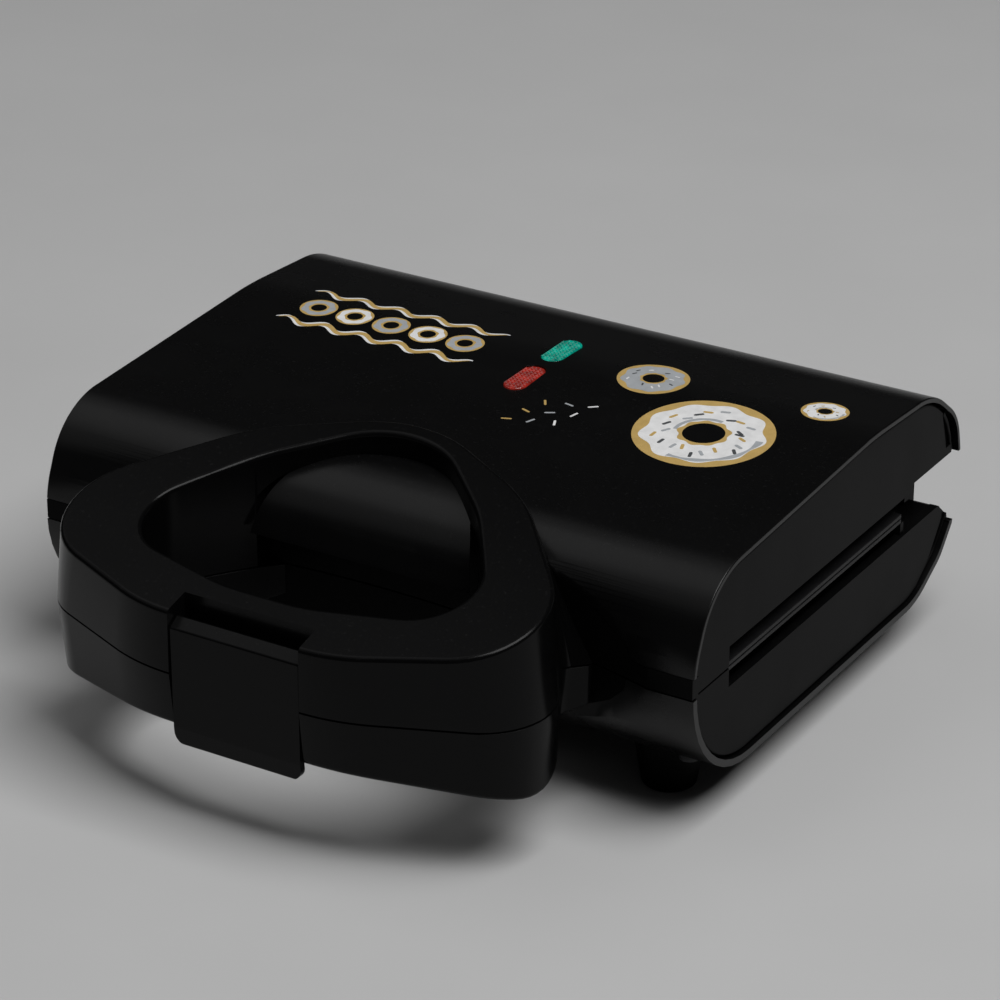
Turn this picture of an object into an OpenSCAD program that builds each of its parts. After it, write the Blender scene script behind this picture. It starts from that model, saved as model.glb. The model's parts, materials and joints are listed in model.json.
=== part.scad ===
// Donut maker: a hinged table-top baking iron for ring-shaped cakes.
// +Z is up, -Y is the handle side, and the origin is on the table under the middle of the object.

/* [Body] */
// Width of the body across its two ends
body_w = 230; // [224:1:260]
// Depth of the body from front to back, without the handle
body_d = 177.5; // [174:0.5:200]
// Height of the parting plane between base and lid above the table
parting_z = 48; // [47:0.5:54]
// Height of the lid's crown above the parting plane
lid_h = 39; // [38:0.5:50]
// Depth of the base shell below the parting plane
base_h = 35; // [34.5:0.5:40]
// Opening left between the closed lid and the base
parting_gap = 0.6; // [0.4:0.1:1]
// Radius of the base shell's large front round
base_front_r = 36; // [30:1:38]

/* [Walls] */
// Wall of the top cover
cover_wall = 1.6; // [1.2:0.1:2.2]
// Wall of the bottom cover
base_wall = 2.2; // [1.6:0.1:2.6]
// Wall of the two housings, their end panels and ledges
housing_wall = 2; // [1.6:0.1:2.4]
// Depth by which the end panels lie inside the shell rims
panel_recess = 2; // [1:0.1:3]
// Groove between the lid's end panel and the cover rim
lid_groove = 0.5; // [0.3:0.1:1]
// Groove between the base's end panel and the bottom cover rim
base_groove = 1.2; // [0.6:0.1:1.6]
// Assembly clearance between fixed neighbours
clear = 0.2; // [0.1:0.05:0.3]
// Height of the lid's end slot above the parting plane
slot_up = 6.3; // [5.6:0.1:7]
// Depth of the base's end slot below the parting plane
slot_down = 8; // [7.4:0.1:9]
// Height of the lid's rear floor above the parting plane
rear_floor = 9.3; // [8.8:0.1:10]
// Depth of the base's rear deck below the parting plane
deck_drop = 7.4; // [7:0.1:8]
// Drop of the rear deck's sloping edge
deck_edge_drop = 7.3; // [6:0.1:9]

/* [Front recess] */
// Plan radius of the concave recess that takes the handle roots
recess_r = 367; // [330:1:400]
// Depth of the recess behind the body's front at the middle
recess_depth = 14; // [12:0.5:16]
// Half width of the cover's tongue inside the handle opening
tongue_half_w = 39; // [34:0.5:40]
// Height of the tongue's lower edge above the parting plane
tongue_edge = 13.5; // [10:0.5:16]
// Height of the top cover's lower front edge above the parting plane
cover_edge = 6.7; // [5:0.1:8]

/* [Handle] */
// How far the handle stands out in front of the body
handle_reach = 63.5; // [60:0.5:70]
// Full width of the handle's outer outline corners, before rounding
handle_w = 185; // [176:1:190]
// Height of the handle's top above the parting plane at its front edge
handle_top = 19.8; // [18.6:0.1:24]
// Rise of the handle's top per millimetre towards the back
handle_tilt = 0.24; // [0.2:0.01:0.26]
// Depth of the lower handle below the parting plane at its front edge
handle_drop = 16.6; // [15.5:0.1:20]
// Deepening of the lower handle per millimetre towards the back
handle_drop_tilt = 0.29; // [0.2:0.01:0.32]
// Depth of the lower handle's root at the body's front
handle_root_drop = 15; // [14:0.5:18]
// Width of the front grip bar
grip_bar = 16.5; // [15:0.5:20]
// Edge rounding along the handle
handle_edge = 1.4; // [0.8:0.1:2.4]
// Wall of the hollow handle halves
handle_wall = 2.6; // [2:0.1:3.2]

/* [Latch] */
// Width of the latch clip
latch_w = 44.2; // [36:0.2:50]
// Thickness of the latch clip's plate
latch_t = 2.2; // [1.8:0.1:2.8]
// Height of the clip's upper crease above the parting plane
latch_top = 14.6; // [14:0.1:16]
// Depth of the clip's sloping hood over its pin
latch_hood = 4.2; // [3.5:0.1:4.6]
// Rise of the hood from the crease to its rear edge
latch_hood_rise = 2.6; // [2:0.1:3]
// Length of the clip's straight face
latch_face = 32.4; // [30:0.1:36]
// Length of the clip's inclined lower lip
latch_lip = 5.8; // [4:0.1:8]
// Depth of the notch in the handle behind the hood
latch_notch = 4.4; // [3.4:0.1:5]
// Radius of the latch pin
latch_pin_r = 1.25; // [1:0.05:1.5]

/* [Baking plates] */
// Gap between each plate's end and the body's end
plate_end_gap = 4; // [4:0.1:6]
// Distance from the body's front to the plates' front edge
plate_front_gap = 24; // [23:0.5:30]
// Distance from the plates' rear edge to the body's back
plate_rear_gap = 39; // [38:0.5:46]
// Thickness of the cast plates
plate_t = 1.5; // [1.2:0.1:2]
// Opening between the two closed plates
plate_gap = 0.3; // [0.2:0.1:0.6]
// Land between a mould and the edge of its share of the plate
mould_land = 0.525; // [0.4:0.025:1]
// Radius of the ring mould's half-round section
ring_tube_r = 9.5; // [8:0.25:9.5]
// Wall of the ring mould
ring_wall = 1.6; // [1.2:0.1:2]
// Width of the ledge on which each plate's ends are screwed
ledge_w = 8.5; // [8:0.5:10]

/* [Heating] */
// Radius of the tubular heating element
heater_r = 3.2; // [2.5:0.1:3.5]
// Thickness of the sheet metal reflectors
reflector_t = 0.8; // [0.6:0.1:1.2]
// Air gap between the element and the reflector
reflector_gap = 2.5; // [1.5:0.5:4]
// Radius of the thermostat's can
thermostat_r = 9; // [7:0.5:11]
// Height of the thermostat's can
thermostat_h = 7; // [6:0.5:8]

/* [Hinge] */
// Distance of the hinge axis from the body's back
hinge_inset = 12.5; // [12:0.5:15]
// Height of the hinge axis above the parting plane
hinge_rise = 3.5; // [2.5:0.5:4]
// Radius of the hinge pins
hinge_pin_r = 2; // [1.5:0.1:2.5]
// Radius of the hinge knuckles
knuckle_r = 4.6; // [4:0.1:5]
// Distance of the hinges from the body's ends
hinge_end = 19; // [17:1:35]
// Width of the lid's knuckle
knuckle_w = 7.4; // [6:0.2:9]
// Thickness of each hinge ear on the base
ear_t = 4; // [3:0.5:5]

/* [Lamps] */
// Length of each indicator lens
lens_l = 18.5; // [16:0.5:20]
// Width of each indicator lens
lens_w = 7.6; // [6:0.2:9]
// Height by which the lenses stand proud of the cover
lens_proud = 0.6; // [0.5:0.1:1.6]
// Distance of the lamps to the right of the middle
lamp_x = 1.4; // [0:0.1:2]
// Distance of the ready lamp behind the body's front
green_lens_y = 119; // [112:1:124]
// Distance of the power lamp behind the body's front
red_lens_y = 96; // [88:1:98]

/* [Feet and inlet] */
// Radius of each foot at its top
foot_top_r = 10.5; // [9:0.5:12]
// Radius of each foot at the table
foot_r = 8.5; // [7:0.5:9]
// Distance of the feet from the body's ends
foot_end = 24; // [22:1:31]
// Distance of the front feet behind the body's front
foot_front_y = 31; // [30:1:40]
// Distance of the rear feet from the body's back
foot_rear_y = 44; // [38:1:50]
// Radius of the bore for the mains cord in the gland
cord_bore_r = 3.6; // [3:0.1:4]
// Length of the cord gland's bore
gland_l = 14; // [12:0.5:16]

/* [Screws] */
// Radius of the screw shanks
screw_r = 1.5; // [1.2:0.1:1.75]
// Radius of the screw heads
screw_head_r = 3; // [2.4:0.1:3.2]
// Height of the screw heads
screw_head_h = 1.8; // [1.4:0.1:2.2]
// Wall of the screw bosses
boss_wall = 2.2; // [1.8:0.1:2.6]

/* [Hidden] */
$fn = 48;
arc_steps = 10;
ring_steps = 6;
running = 0.05;
far = 400;
ring_columns = 3;
ring_rows = 2;

// Places across the object
half_w = body_w / 2;
panel_x = half_w - panel_recess;
panel_in_x = panel_x - housing_wall;
whole_d = body_d + handle_reach;
front_y = handle_reach - whole_d / 2;
rear_y = whole_d / 2;
grip_y = -whole_d / 2;
plate_front_y = front_y + plate_front_gap;
plate_rear_y = rear_y - plate_rear_gap;
plate_mid_y = (plate_front_y + plate_rear_y) / 2;
plate_x = half_w - plate_end_gap;
plate_d = plate_rear_y - plate_front_y;
hinge_x = half_w - hinge_end;
foot_x = half_w - foot_end;
recess_mid_y = front_y + recess_depth;
recess_centre_y = recess_mid_y - recess_r;

// Heights
lid_bottom_z = parting_z + parting_gap / 3;
base_top_z = parting_z - parting_gap * 2 / 3;
contact_z = (lid_bottom_z + base_top_z) / 2;
crown_z = parting_z + lid_h;
under_z = parting_z - base_h;
cover_edge_z = parting_z + cover_edge;
tongue_z = parting_z + tongue_edge;
panel_gap_z = parting_z + slot_up;
rear_floor_z = parting_z + rear_floor;
rear_lip = 0.8;
lip_d = 10;
lip_z = rear_floor_z - rear_lip;
deck_z = parting_z - deck_drop;
deck_edge_z = deck_z - deck_edge_drop;
base_panel_z = parting_z - slot_down;

// Mould stack, measured away from the contact plane
plate_face = plate_gap / 2;
mould_top = plate_face + ring_tube_r + ring_wall;
heater_h = mould_top + heater_r + running;
reflector_h = heater_h + heater_r + reflector_gap;
boss_h = 2.6;
ledge_h = plate_face + plate_t + boss_h;
ledge_x = plate_x - 3;
window_x = ledge_x - ledge_w;
// The moulds fill equal shares of the plate inside its screws
mould_reach = min(plate_d / ring_rows, 2 * window_x / ring_columns) / 2 - mould_land;
ring_r = mould_reach - ring_tube_r - ring_wall;
end_land = 1.4;
row_land = 1.25;
ring_pitch_x = (window_x - end_land - mould_reach) * 2 / (ring_columns - 1);
ring_pitch_y = plate_d / 2 - row_land;
// Radius of the holes in the plate that take the moulds
mould_r = mould_reach - ring_wall / 2;
mould_x = [for (i = [0:ring_columns - 1]) (i - (ring_columns - 1) / 2) * ring_pitch_x];
mould_y = [for (j = [0:ring_rows - 1]) plate_mid_y + (j - (ring_rows - 1) / 2) * ring_pitch_y];
reflector_x = window_x - 0.6;
plate_screw_x = (window_x + ledge_x) / 2;
plate_screw_inset = 14;
plate_screw_y = [plate_front_y + plate_screw_inset, plate_rear_y - plate_screw_inset];

// Hinge and latch axes
hinge_y = rear_y - hinge_inset;
hinge_z = parting_z + hinge_rise;
latch_face_y = grip_y + 0.7;
latch_y = latch_face_y + latch_hood;
latch_pin_drop = 2.1;
latch_z = parting_z + latch_top - latch_pin_drop;
latch_knuckle_r = 2.5;
latch_back_y = latch_face_y + latch_t;
latch_room = 0.3;
channel_y = latch_back_y + latch_room;
notch_y = latch_y + latch_notch;
notch_z = latch_z - latch_knuckle_r - 2 * latch_room;
channel_x = latch_w / 2 + 0.5;
cheek_x = channel_x + handle_wall + 2 * latch_room;
latch_lean = 0.1;
handle_screw_x = [50, 66];

// Outlines as [horizontal, vertical, corner radius], counter-clockwise
lid_outline = [[front_y, parting_z - 6, 0], [rear_y, parting_z - 6, 0],
               [rear_y, rear_floor_z, 3], [rear_y - 3.5, crown_z - 17.4, 10],
               [rear_y - 23.3, crown_z - 2.2, 18], [front_y + 113, crown_z + 0.2, 150],
               [front_y + 21.3, crown_z - 4.3, 25], [front_y + 7.7, crown_z - 11.7, 10],
               [front_y, parting_z + 9.5, 12]];
base_outline = [[front_y, under_z, base_front_r], [rear_y - 28.5, under_z + 0.4, 30],
                [rear_y - 11.5, under_z + 9.8, 15], [rear_y - 2.5, deck_edge_z, 2.5],
                [rear_y - 11, deck_z, 5], [plate_rear_y + 2.5, deck_z, 0],
                [plate_rear_y + 2.5, parting_z + 20, 0], [front_y, parting_z + 20, 0]];

function unit(v) = v / norm(v);
function cross2(a, b) = a.x * b.y - a.y * b.x;

// One rounded corner of an outline that is moved inwards by d
function corner(p, c, n, r, d, steps) =
    let (u = unit(p - c), v = unit(n - c), bisector = unit(u + v),
         side = cross2(c - p, n - c) >= 0 ? 1 : -1,
         half = acos(max(-1, min(1, u * v))) / 2,
         tip = c + bisector * side * d / sin(half),
         radius = max(r - side * d, 0.05),
         middle = tip + bisector * radius / sin(half),
         from = (tip + u * radius / tan(half) - middle) / radius,
         to = (tip + v * radius / tan(half) - middle) / radius,
         sweep = 180 - 2 * half)
    r == 0 ? [tip] :
    [for (k = [0:steps])
        middle + radius * (from * sin(sweep * (1 - k / steps)) + to * sin(sweep * k / steps)) / sin(sweep)];

function flat(p) = [p.x, p.y];

// All points of a rounded outline, moved inwards by d
function rounded(outline, d = 0, steps = arc_steps) =
    let (n = len(outline))
    [for (i = [0:n - 1])
        each corner(flat(outline[(i + n - 1) % n]), flat(outline[i]), flat(outline[(i + 1) % n]),
                    outline[i].z, d, steps)];

module along_x(from, to) {
    translate([from, 0, 0]) rotate([90, 0, 90]) linear_extrude(to - from) children();
}

module both_sides() {
    children();
    mirror([1, 0, 0]) children();
}

module block(x, y, z) {
    translate([x[0], y[0], z[0]]) cube([x[1] - x[0], y[1] - y[0], z[1] - z[0]]);
}

module slab(d, outline, x) {
    along_x(-x, x) polygon(rounded(outline, d));
}

module shell_ring(outline, outer, inner, x) {
    along_x(-x, x) difference() {
        polygon(rounded(outline, outer));
        polygon(rounded(outline, inner));
    }
}

// The concave space in front of the body that takes the handle roots
module recess(grow = 0) {
    translate([0, recess_centre_y, -1]) cylinder(r = recess_r + grow, h = crown_z + 20, $fn = 200);
}

module recess_wall(z) {
    translate([0, recess_centre_y, z[0]]) difference() {
        cylinder(r = recess_r + housing_wall, h = z[1] - z[0], $fn = 200);
        translate([0, 0, -1]) cylinder(r = recess_r, h = z[1] - z[0] + 2, $fn = 200);
    }
}

// Heights above and below the contact plane
module upper_side() {
    translate([0, 0, contact_z]) children();
}

module lower_side() {
    translate([0, 0, contact_z]) mirror([0, 0, 1]) children();
}

module screw(l) {
    cylinder(r = screw_r, h = l);
    translate([0, 0, -screw_head_h]) difference() {
        cylinder(r = screw_head_r, h = screw_head_h);
        translate([0, 0, -0.1]) cylinder(r = screw_head_r * 0.45, h = screw_head_h * 0.6, $fn = 6);
    }
}

// ---- Parts that the lid and the base have alike ----

// The flat plate, with a hole for each mould
module baking_plate() {
    difference() {
        union() {
            block([-plate_x, plate_x], [plate_front_y, plate_rear_y], [plate_face, plate_face + plate_t]);
            for (x = [-plate_screw_x, plate_screw_x], y = plate_screw_y)
                translate([x, y, plate_face]) cylinder(r = screw_r + boss_wall, h = ledge_h - plate_face - clear);
        }
        for (x = mould_x, y = mould_y) translate([x, y, 0]) cylinder(r = mould_r, h = ledge_h);
        for (x = [-plate_screw_x, plate_screw_x], y = plate_screw_y)
            translate([x, y, plate_face + plate_t / 2]) cylinder(r = screw_r + running, h = ledge_h);
    }
}

// One ring mould, counted from 0 by columns: a half-round channel round a flat middle
module ring_mould(number) {
    outer_r = mould_r - running;
    place = [mould_x[floor(number / ring_rows)], mould_y[number % ring_rows], plate_face];
    translate(place) rotate_extrude() difference() {
        intersection() {
            union() {
                translate([ring_r, 0]) circle(r = ring_tube_r + ring_wall);
                square([outer_r, plate_t]);
            }
            square([outer_r, 2 * ring_tube_r]);
        }
        translate([ring_r, 0]) circle(r = ring_tube_r);
    }
}

module plate_screws() {
    for (x = [-plate_screw_x, plate_screw_x], y = plate_screw_y)
        translate([x, y, ledge_h + housing_wall + running]) mirror([0, 0, 1])
            screw(ledge_h + housing_wall + running - plate_face - 1);
}

// Tubular element: two long runs over the mould rows, joined by a bend, with upright ends
heater_run = reflector_x - 12;
heater_bend_r = ring_pitch_y / 2;
heater_end_h = reflector_h + reflector_t + 5;
module heater() {
    bend_x = heater_run - heater_bend_r;
    for (side = [-1, 1]) {
        translate([-heater_run, plate_mid_y + side * heater_bend_r, heater_h])
            rotate([0, 90, 0]) cylinder(r = heater_r, h = heater_run + bend_x);
        translate([-heater_run, plate_mid_y + side * heater_bend_r, heater_h]) {
            sphere(r = heater_r);
            cylinder(r = heater_r * 0.6, h = heater_end_h - heater_h);
        }
    }
    translate([bend_x, plate_mid_y, heater_h]) rotate([0, 0, -90])
        rotate_extrude(angle = 180) translate([heater_bend_r, 0]) circle(r = heater_r);
}

module reflector() {
    foot_h = plate_face + plate_t + clear;
    y0 = plate_front_y + 0.2;
    y1 = plate_rear_y - 0.2;
    difference() {
        block([-reflector_x, reflector_x], [y0, y1], [foot_h, reflector_h + reflector_t]);
        block([-reflector_x + reflector_t, reflector_x - reflector_t], [y0 + reflector_t, y1 - reflector_t],
              [foot_h - 1, reflector_h]);
        for (side = [-1, 1])
            translate([-heater_run, plate_mid_y + side * heater_bend_r, reflector_h - 1])
                cylinder(r = heater_r * 0.6 + 1, h = 4);
    }
}

// Ledge above the plate's rim, the front skirt, and the front flange that ends at a plan radius
module housing_frame(flange_r) {
    skirt_y = plate_front_y - clear * 2 - housing_wall;
    difference() {
        union() {
            block([-ledge_x, ledge_x], [skirt_y, plate_rear_y + 2.5], [ledge_h, ledge_h + housing_wall]);
            block([-panel_x, panel_x], [skirt_y, skirt_y + housing_wall], [parting_gap / 2, ledge_h + housing_wall]);
            difference() {
                block([-panel_x, panel_x], [front_y + base_wall + 2 * clear, skirt_y + housing_wall],
                      [parting_gap / 2, parting_gap / 2 + housing_wall]);
                translate([0, recess_centre_y, -1]) cylinder(r = flange_r, h = 20, $fn = 200);
            }
        }
        block([-window_x, window_x], [plate_front_y - clear * 2, plate_rear_y + clear], [-1, far]);
        for (x = [-plate_screw_x, plate_screw_x], y = plate_screw_y)
            translate([x, y, ledge_h - 1]) cylinder(r = screw_r + clear, h = housing_wall + 2);
    }
}

// ---- Handle ring ----
// The outlines are plan views of the right half, mirrored to the left. Their points are the front bend,
// the front corner, the waist, the root where it flares out to the body, and the rear end.
corner_x = handle_w / 2;
opening_y = grip_y + grip_bar;
function mirrored(p) = [-p.x, p.y, p.z];
function half_to_full(p) = [mirrored(p[0]), each p, mirrored(p[3]), mirrored(p[2]), mirrored(p[1])];
top_outline = half_to_full([[33, grip_y + 0.3, 60], [corner_x + 5.8, grip_y + 24.3, 26],
                            [corner_x - 19.2, front_y - 8.6, 60], [corner_x - 44.3, front_y + 19.5, 60],
                            [0, front_y + 42.9, 46]]);
parting_outline = half_to_full([[34, grip_y, 60], [corner_x + 1.6, grip_y + 24.8, 22],
                                [corner_x - 20.5, front_y - 2.5, 5], [corner_x - 10.5, front_y + 7, 3],
                                [0, recess_mid_y + 13, 10]]);
opening_outline = half_to_full([[14, opening_y, 60], [corner_x - 24.9, opening_y + 12, 18],
                                [corner_x - 45.1, front_y - 5, 60], [corner_x - 54.6, front_y + 8.3, 60],
                                [0, front_y + 42.2, 30]]);
lower_outline = half_to_full([[34, grip_y + 1.6, 60], [corner_x + 0.3, grip_y + 26, 22],
                              [corner_x - 21, front_y - 2.5, 5], [corner_x - 11, front_y + 7, 3],
                              [0, recess_mid_y + 13, 10]]);

function blend(a, b, t) = [for (i = [0:len(a) - 1]) a[i] * (1 - t) + b[i] * t];

// Height of a handle half at a place y: it grows from the grip towards the back, and the root limits it
root_tilt = 0.36;
root_blend = 5;
function soft_min(a, b, width) = min(a, b) - pow(max(width - abs(a - b), 0), 2) / (4 * width);
function half_height(size, y) =
    soft_min(size[0] + size[1] * (y - grip_y), size[2] + root_tilt * (front_y - y), root_blend);

// Rows of the ring's surface: up the outside, over the rounded edges, and down the inside
function ring_rows_of(foot, top, opening, d, size, edge, low) =
    let (edge_steps = [0, 30, 60, 90],
         line = function (outline, inset) rounded(outline, inset, ring_steps),
         lift = function (p, t, drop) [p.x, p.y, low + t * (half_height(size, p.y) - low) - drop])
    concat(
        [for (t = [0, 0.45]) [for (p = blend(line(foot, d), line(top, d), t)) lift(p, t, 0)]],
        [for (a = edge_steps)
            [for (p = line(top, d + edge * (1 - cos(a)))) lift(p, 1, edge * (1 - sin(a)))]],
        [for (a = edge_steps)
            [for (p = line(opening, -d - edge * (1 - sin(a)))) lift(p, 1, edge * (1 - cos(a)))]],
        [[for (p = line(opening, -d)) lift(p, 0, 0)]]);

module closed_ring(rows) {
    n = len(rows[0]);
    m = len(rows);
    points = [for (row = rows) each row];
    faces = [for (i = [0:m - 1], j = [0:n - 1])
        let (a = i * n + j, b = i * n + (j + 1) % n,
             c = ((i + 1) % m) * n + (j + 1) % n, e = ((i + 1) % m) * n + j)
        each [[a, c, b], [a, e, c]]];
    polyhedron(points = points, faces = faces);
}

// A hollow half of the handle, open at the parting plane, with solid roots and a solid block for the latch
module handle_half(foot, top, size) {
    inner_size = [size[0] - handle_wall, size[1], size[2] - handle_wall];
    difference() {
        closed_ring(ring_rows_of(foot, top, opening_outline, 0, size, handle_edge, 0));
        difference() {
            closed_ring(ring_rows_of(foot, top, opening_outline, handle_wall, inner_size, handle_edge / 2, -1));
            block([-far, far], [front_y - 12, far], [-2, far]);
            block([-cheek_x, cheek_x], [grip_y, grip_y + grip_bar], [-2, far]);
        }
    }
}

// Screws through the recess wall into the handle roots, square to the wall
module handle_screw_sites(z) {
    for (x = handle_screw_x)
        both_sides() translate([0, recess_centre_y, z]) rotate([0, 0, -asin(x / recess_r)])
            translate([0, recess_r, 0]) children();
}

// ---- Lid ----

module lens_prism(y, grow, z) {
    reach = (lens_l - lens_w) / 2;
    translate([lamp_x, front_y + y, z[0]]) linear_extrude(z[1] - z[0]) {
        for (side = [-1, 1]) translate([0, side * reach]) circle(r = lens_w / 2 + grow);
        square([lens_w + 2 * grow, 2 * reach], center = true);
    }
}

// Height of the cover's straight stretches above a place y behind the body's front
function on_line(a, b, y) = a.y + (b.y - a.y) * (y - a.x) / (b.x - a.x);
function cover_top(y) = min(on_line(lid_outline[6], lid_outline[5], y), on_line(lid_outline[5], lid_outline[4], y));

lid_screw_places = [[panel_in_x - 7, front_y + 13, ledge_h + contact_z + housing_wall],
                    [half_w - 45, rear_y - 20, rear_floor_z + housing_wall]];

module top_cover() {
    boss_r = screw_r + boss_wall;
    color("#131314") difference() {
        union() {
            shell_ring(lid_outline, 0, cover_wall, half_w);
            for (p = lid_screw_places) both_sides() intersection() {
                translate([p.x, p.y, p.z + clear]) cylinder(r = boss_r, h = far);
                slab(cover_wall / 2, lid_outline, half_w);
            }
        }
        block([-far, far], [-far, rear_y - lip_d], [0, cover_edge_z]);
        block([-far, far], [rear_y - lip_d - 0.01, far], [0, lip_z]);
        difference() {
            recess();
            block([-tongue_half_w, tongue_half_w], [-far, far], [0, far]);
        }
        block([-tongue_half_w - 1, tongue_half_w + 1], [-far, front_y + 12], [0, tongue_z]);
        for (y = [green_lens_y, red_lens_y]) lens_prism(y, 0.2, [crown_z - lens_cut, crown_z + lens_cut]);
        for (p = lid_screw_places) both_sides()
            translate([p.x, p.y, p.z - 1]) cylinder(r = screw_r + running, h = 12);
    }
}

module lid_end_panel() {
    along_x(panel_in_x, panel_x) difference() {
        polygon(rounded(lid_outline, cover_wall + lid_groove));
        translate([-far, 0]) square([2 * far, lid_bottom_z]);
        translate([plate_front_y - 0.5, 0]) square([far, panel_gap_z]);
        translate([plate_rear_y + 5.5, 0]) square([far, rear_floor_z]);
        polygon([[rear_y - 5.5, rear_floor_z - 1], [rear_y, rear_floor_z - 1], [rear_y - 7.5, crown_z - 10]]);
    }
}

module lid_housing() {
    knuckle_x = hinge_x - knuckle_w / 2;
    color("#1a1a1b") difference() {
        union() {
            both_sides() lid_end_panel();
            difference() {
                intersection() {
                    shell_ring(lid_outline, 0, cover_wall + housing_wall, half_w - 0.3);
                    block([-far, far], [front_y - 1, plate_front_y], [lid_bottom_z, cover_edge_z - clear]);
                }
                recess();
            }
            intersection() {
                recess_wall([lid_bottom_z, crown_z]);
                slab(cover_wall + clear, lid_outline, panel_x);
            }
            upper_side() housing_frame(recess_r);
            intersection() {
                block([-panel_x, panel_x], [plate_rear_y + 3.5, rear_y], [rear_floor_z, rear_floor_z + housing_wall]);
                slab(cover_wall + clear, lid_outline, panel_x);
            }
            block([-panel_x, panel_x], [plate_rear_y + 2.4, plate_rear_y + 5.5],
                  [contact_z + ledge_h, rear_floor_z + housing_wall]);
            both_sides() {
                translate([knuckle_x, hinge_y, hinge_z]) rotate([0, 90, 0]) cylinder(r = knuckle_r, h = knuckle_w);
                block([knuckle_x, knuckle_x + knuckle_w], [hinge_y - knuckle_r, hinge_y + knuckle_r],
                      [hinge_z, rear_floor_z + housing_wall]);
                block([panel_in_x - 9, panel_in_x + 0.5], [front_y + 9, skirt_back_y],
                      [contact_z + ledge_h, contact_z + ledge_h + housing_wall]);
            }
        }
        both_sides() translate([knuckle_x - 1, hinge_y, hinge_z]) rotate([0, 90, 0])
            cylinder(r = hinge_pin_r + running, h = knuckle_w + 2);
        for (p = lid_screw_places) both_sides()
            translate([p.x, p.y, p.z - housing_wall - 5]) cylinder(r = screw_r + clear, h = housing_wall + 10);
        handle_screw_sites(upper_screw_z) translate([0, -5, 0]) rotate([-90, 0, 0])
            cylinder(r = screw_r + clear, h = 12);
    }
}

lens_cut = 9;
skirt_back_y = plate_front_y - clear;
upper_screw_z = parting_z + 12;
lower_screw_z = parting_z - 8;

module latch_space() {
    block([-channel_x, channel_x], [-far, channel_y], [0, notch_z]);
    block([-channel_x, channel_x], [-far, notch_y], [notch_z - 0.01, far]);
}

module upper_handle() {
    color("#151516") difference() {
        translate([0, 0, lid_bottom_z]) handle_half(parting_outline, top_outline, [handle_top, handle_tilt, far]);
        difference() {
            slab(-clear, lid_outline, half_w);
            difference() {
                recess(-clear);
                block([-tongue_half_w - clear, tongue_half_w + clear], [-far, far], [0, far]);
            }
        }
        latch_space();
        translate([-cheek_x - 2, latch_y, latch_z]) rotate([0, 90, 0])
            cylinder(r = latch_pin_r + running, h = 2 * cheek_x + 4);
        handle_screw_sites(upper_screw_z) translate([0, -9, 0]) rotate([-90, 0, 0])
            cylinder(r = screw_r + running, h = 12);
    }
}

module upper_plate() {
    color("#2f2f31") upper_side() baking_plate();
}

module upper_mould_1() {
    color("#2f2f31") upper_side() ring_mould(0);
}

module upper_mould_2() {
    color("#2f2f31") upper_side() ring_mould(1);
}

module upper_mould_3() {
    color("#2f2f31") upper_side() ring_mould(2);
}

module upper_mould_4() {
    color("#2f2f31") upper_side() ring_mould(3);
}

module upper_mould_5() {
    color("#2f2f31") upper_side() ring_mould(4);
}

module upper_mould_6() {
    color("#2f2f31") upper_side() ring_mould(5);
}

module upper_heater() {
    color("#8d8f92") upper_side() heater();
}

module upper_reflector() {
    color("#c3c6c9") upper_side() reflector();
}

module upper_plate_screws() {
    color("#b9bcc0") upper_side() plate_screws();
}

module handle_screws(z) {
    handle_screw_sites(z) translate([0, housing_wall + clear, 0]) rotate([90, 0, 0])
        screw(housing_wall + clear + 8);
}

module upper_handle_screws() {
    color("#b9bcc0") handle_screws(upper_screw_z);
}

module lid_screws() {
    color("#b9bcc0") for (p = lid_screw_places) both_sides()
        translate([p.x, p.y, p.z - housing_wall - running]) screw(housing_wall + 9);
}

module lens(y) {
    flange_top = cover_top(front_y + red_lens_y - lens_l / 2) - cover_wall - clear;
    lens_prism(y, 0, [flange_top - 1.2, cover_top(front_y + y) + lens_proud]);
    lens_prism(y, 1.6, [flange_top - 1.2, flange_top]);
}

module green_lens() {
    color("#28bda7") lens(green_lens_y);
}

module red_lens() {
    color("#a23a2c") lens(red_lens_y);
}

lamp_top_z = cover_top(front_y + red_lens_y - lens_l / 2) - cover_wall - 1.2 - 2 * clear;
lamp_floor_z = lamp_top_z - 7.4;
module lamp_holder() {
    y0 = front_y + red_lens_y - lens_l / 2 - 3;
    y1 = front_y + green_lens_y + lens_l / 2 + 3;
    color("#d9d4c6") difference() {
        block([lamp_x - lens_w / 2 - 4, lamp_x + lens_w / 2 + 4], [y0, y1], [lamp_floor_z - 1.6, lamp_top_z]);
        for (y = [green_lens_y, red_lens_y]) lens_prism(y, 1, [lamp_floor_z, lamp_top_z + 1]);
    }
}

module neon_lamps() {
    color("#e6d3c0") for (y = [green_lens_y, red_lens_y])
        translate([lamp_x, front_y + y, lamp_floor_z + 3]) rotate([90, 0, 0]) {
            translate([0, 0, -6]) cylinder(r = 2.6, h = 12);
            translate([0, 0, 6]) sphere(r = 2.6);
        }
}

// ---- Latch ----

module latch_pin() {
    color("#b9bcc0") translate([-cheek_x + 0.5, latch_y, latch_z]) rotate([0, 90, 0])
        cylinder(r = latch_pin_r, h = 2 * cheek_x - 1);
}

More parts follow.
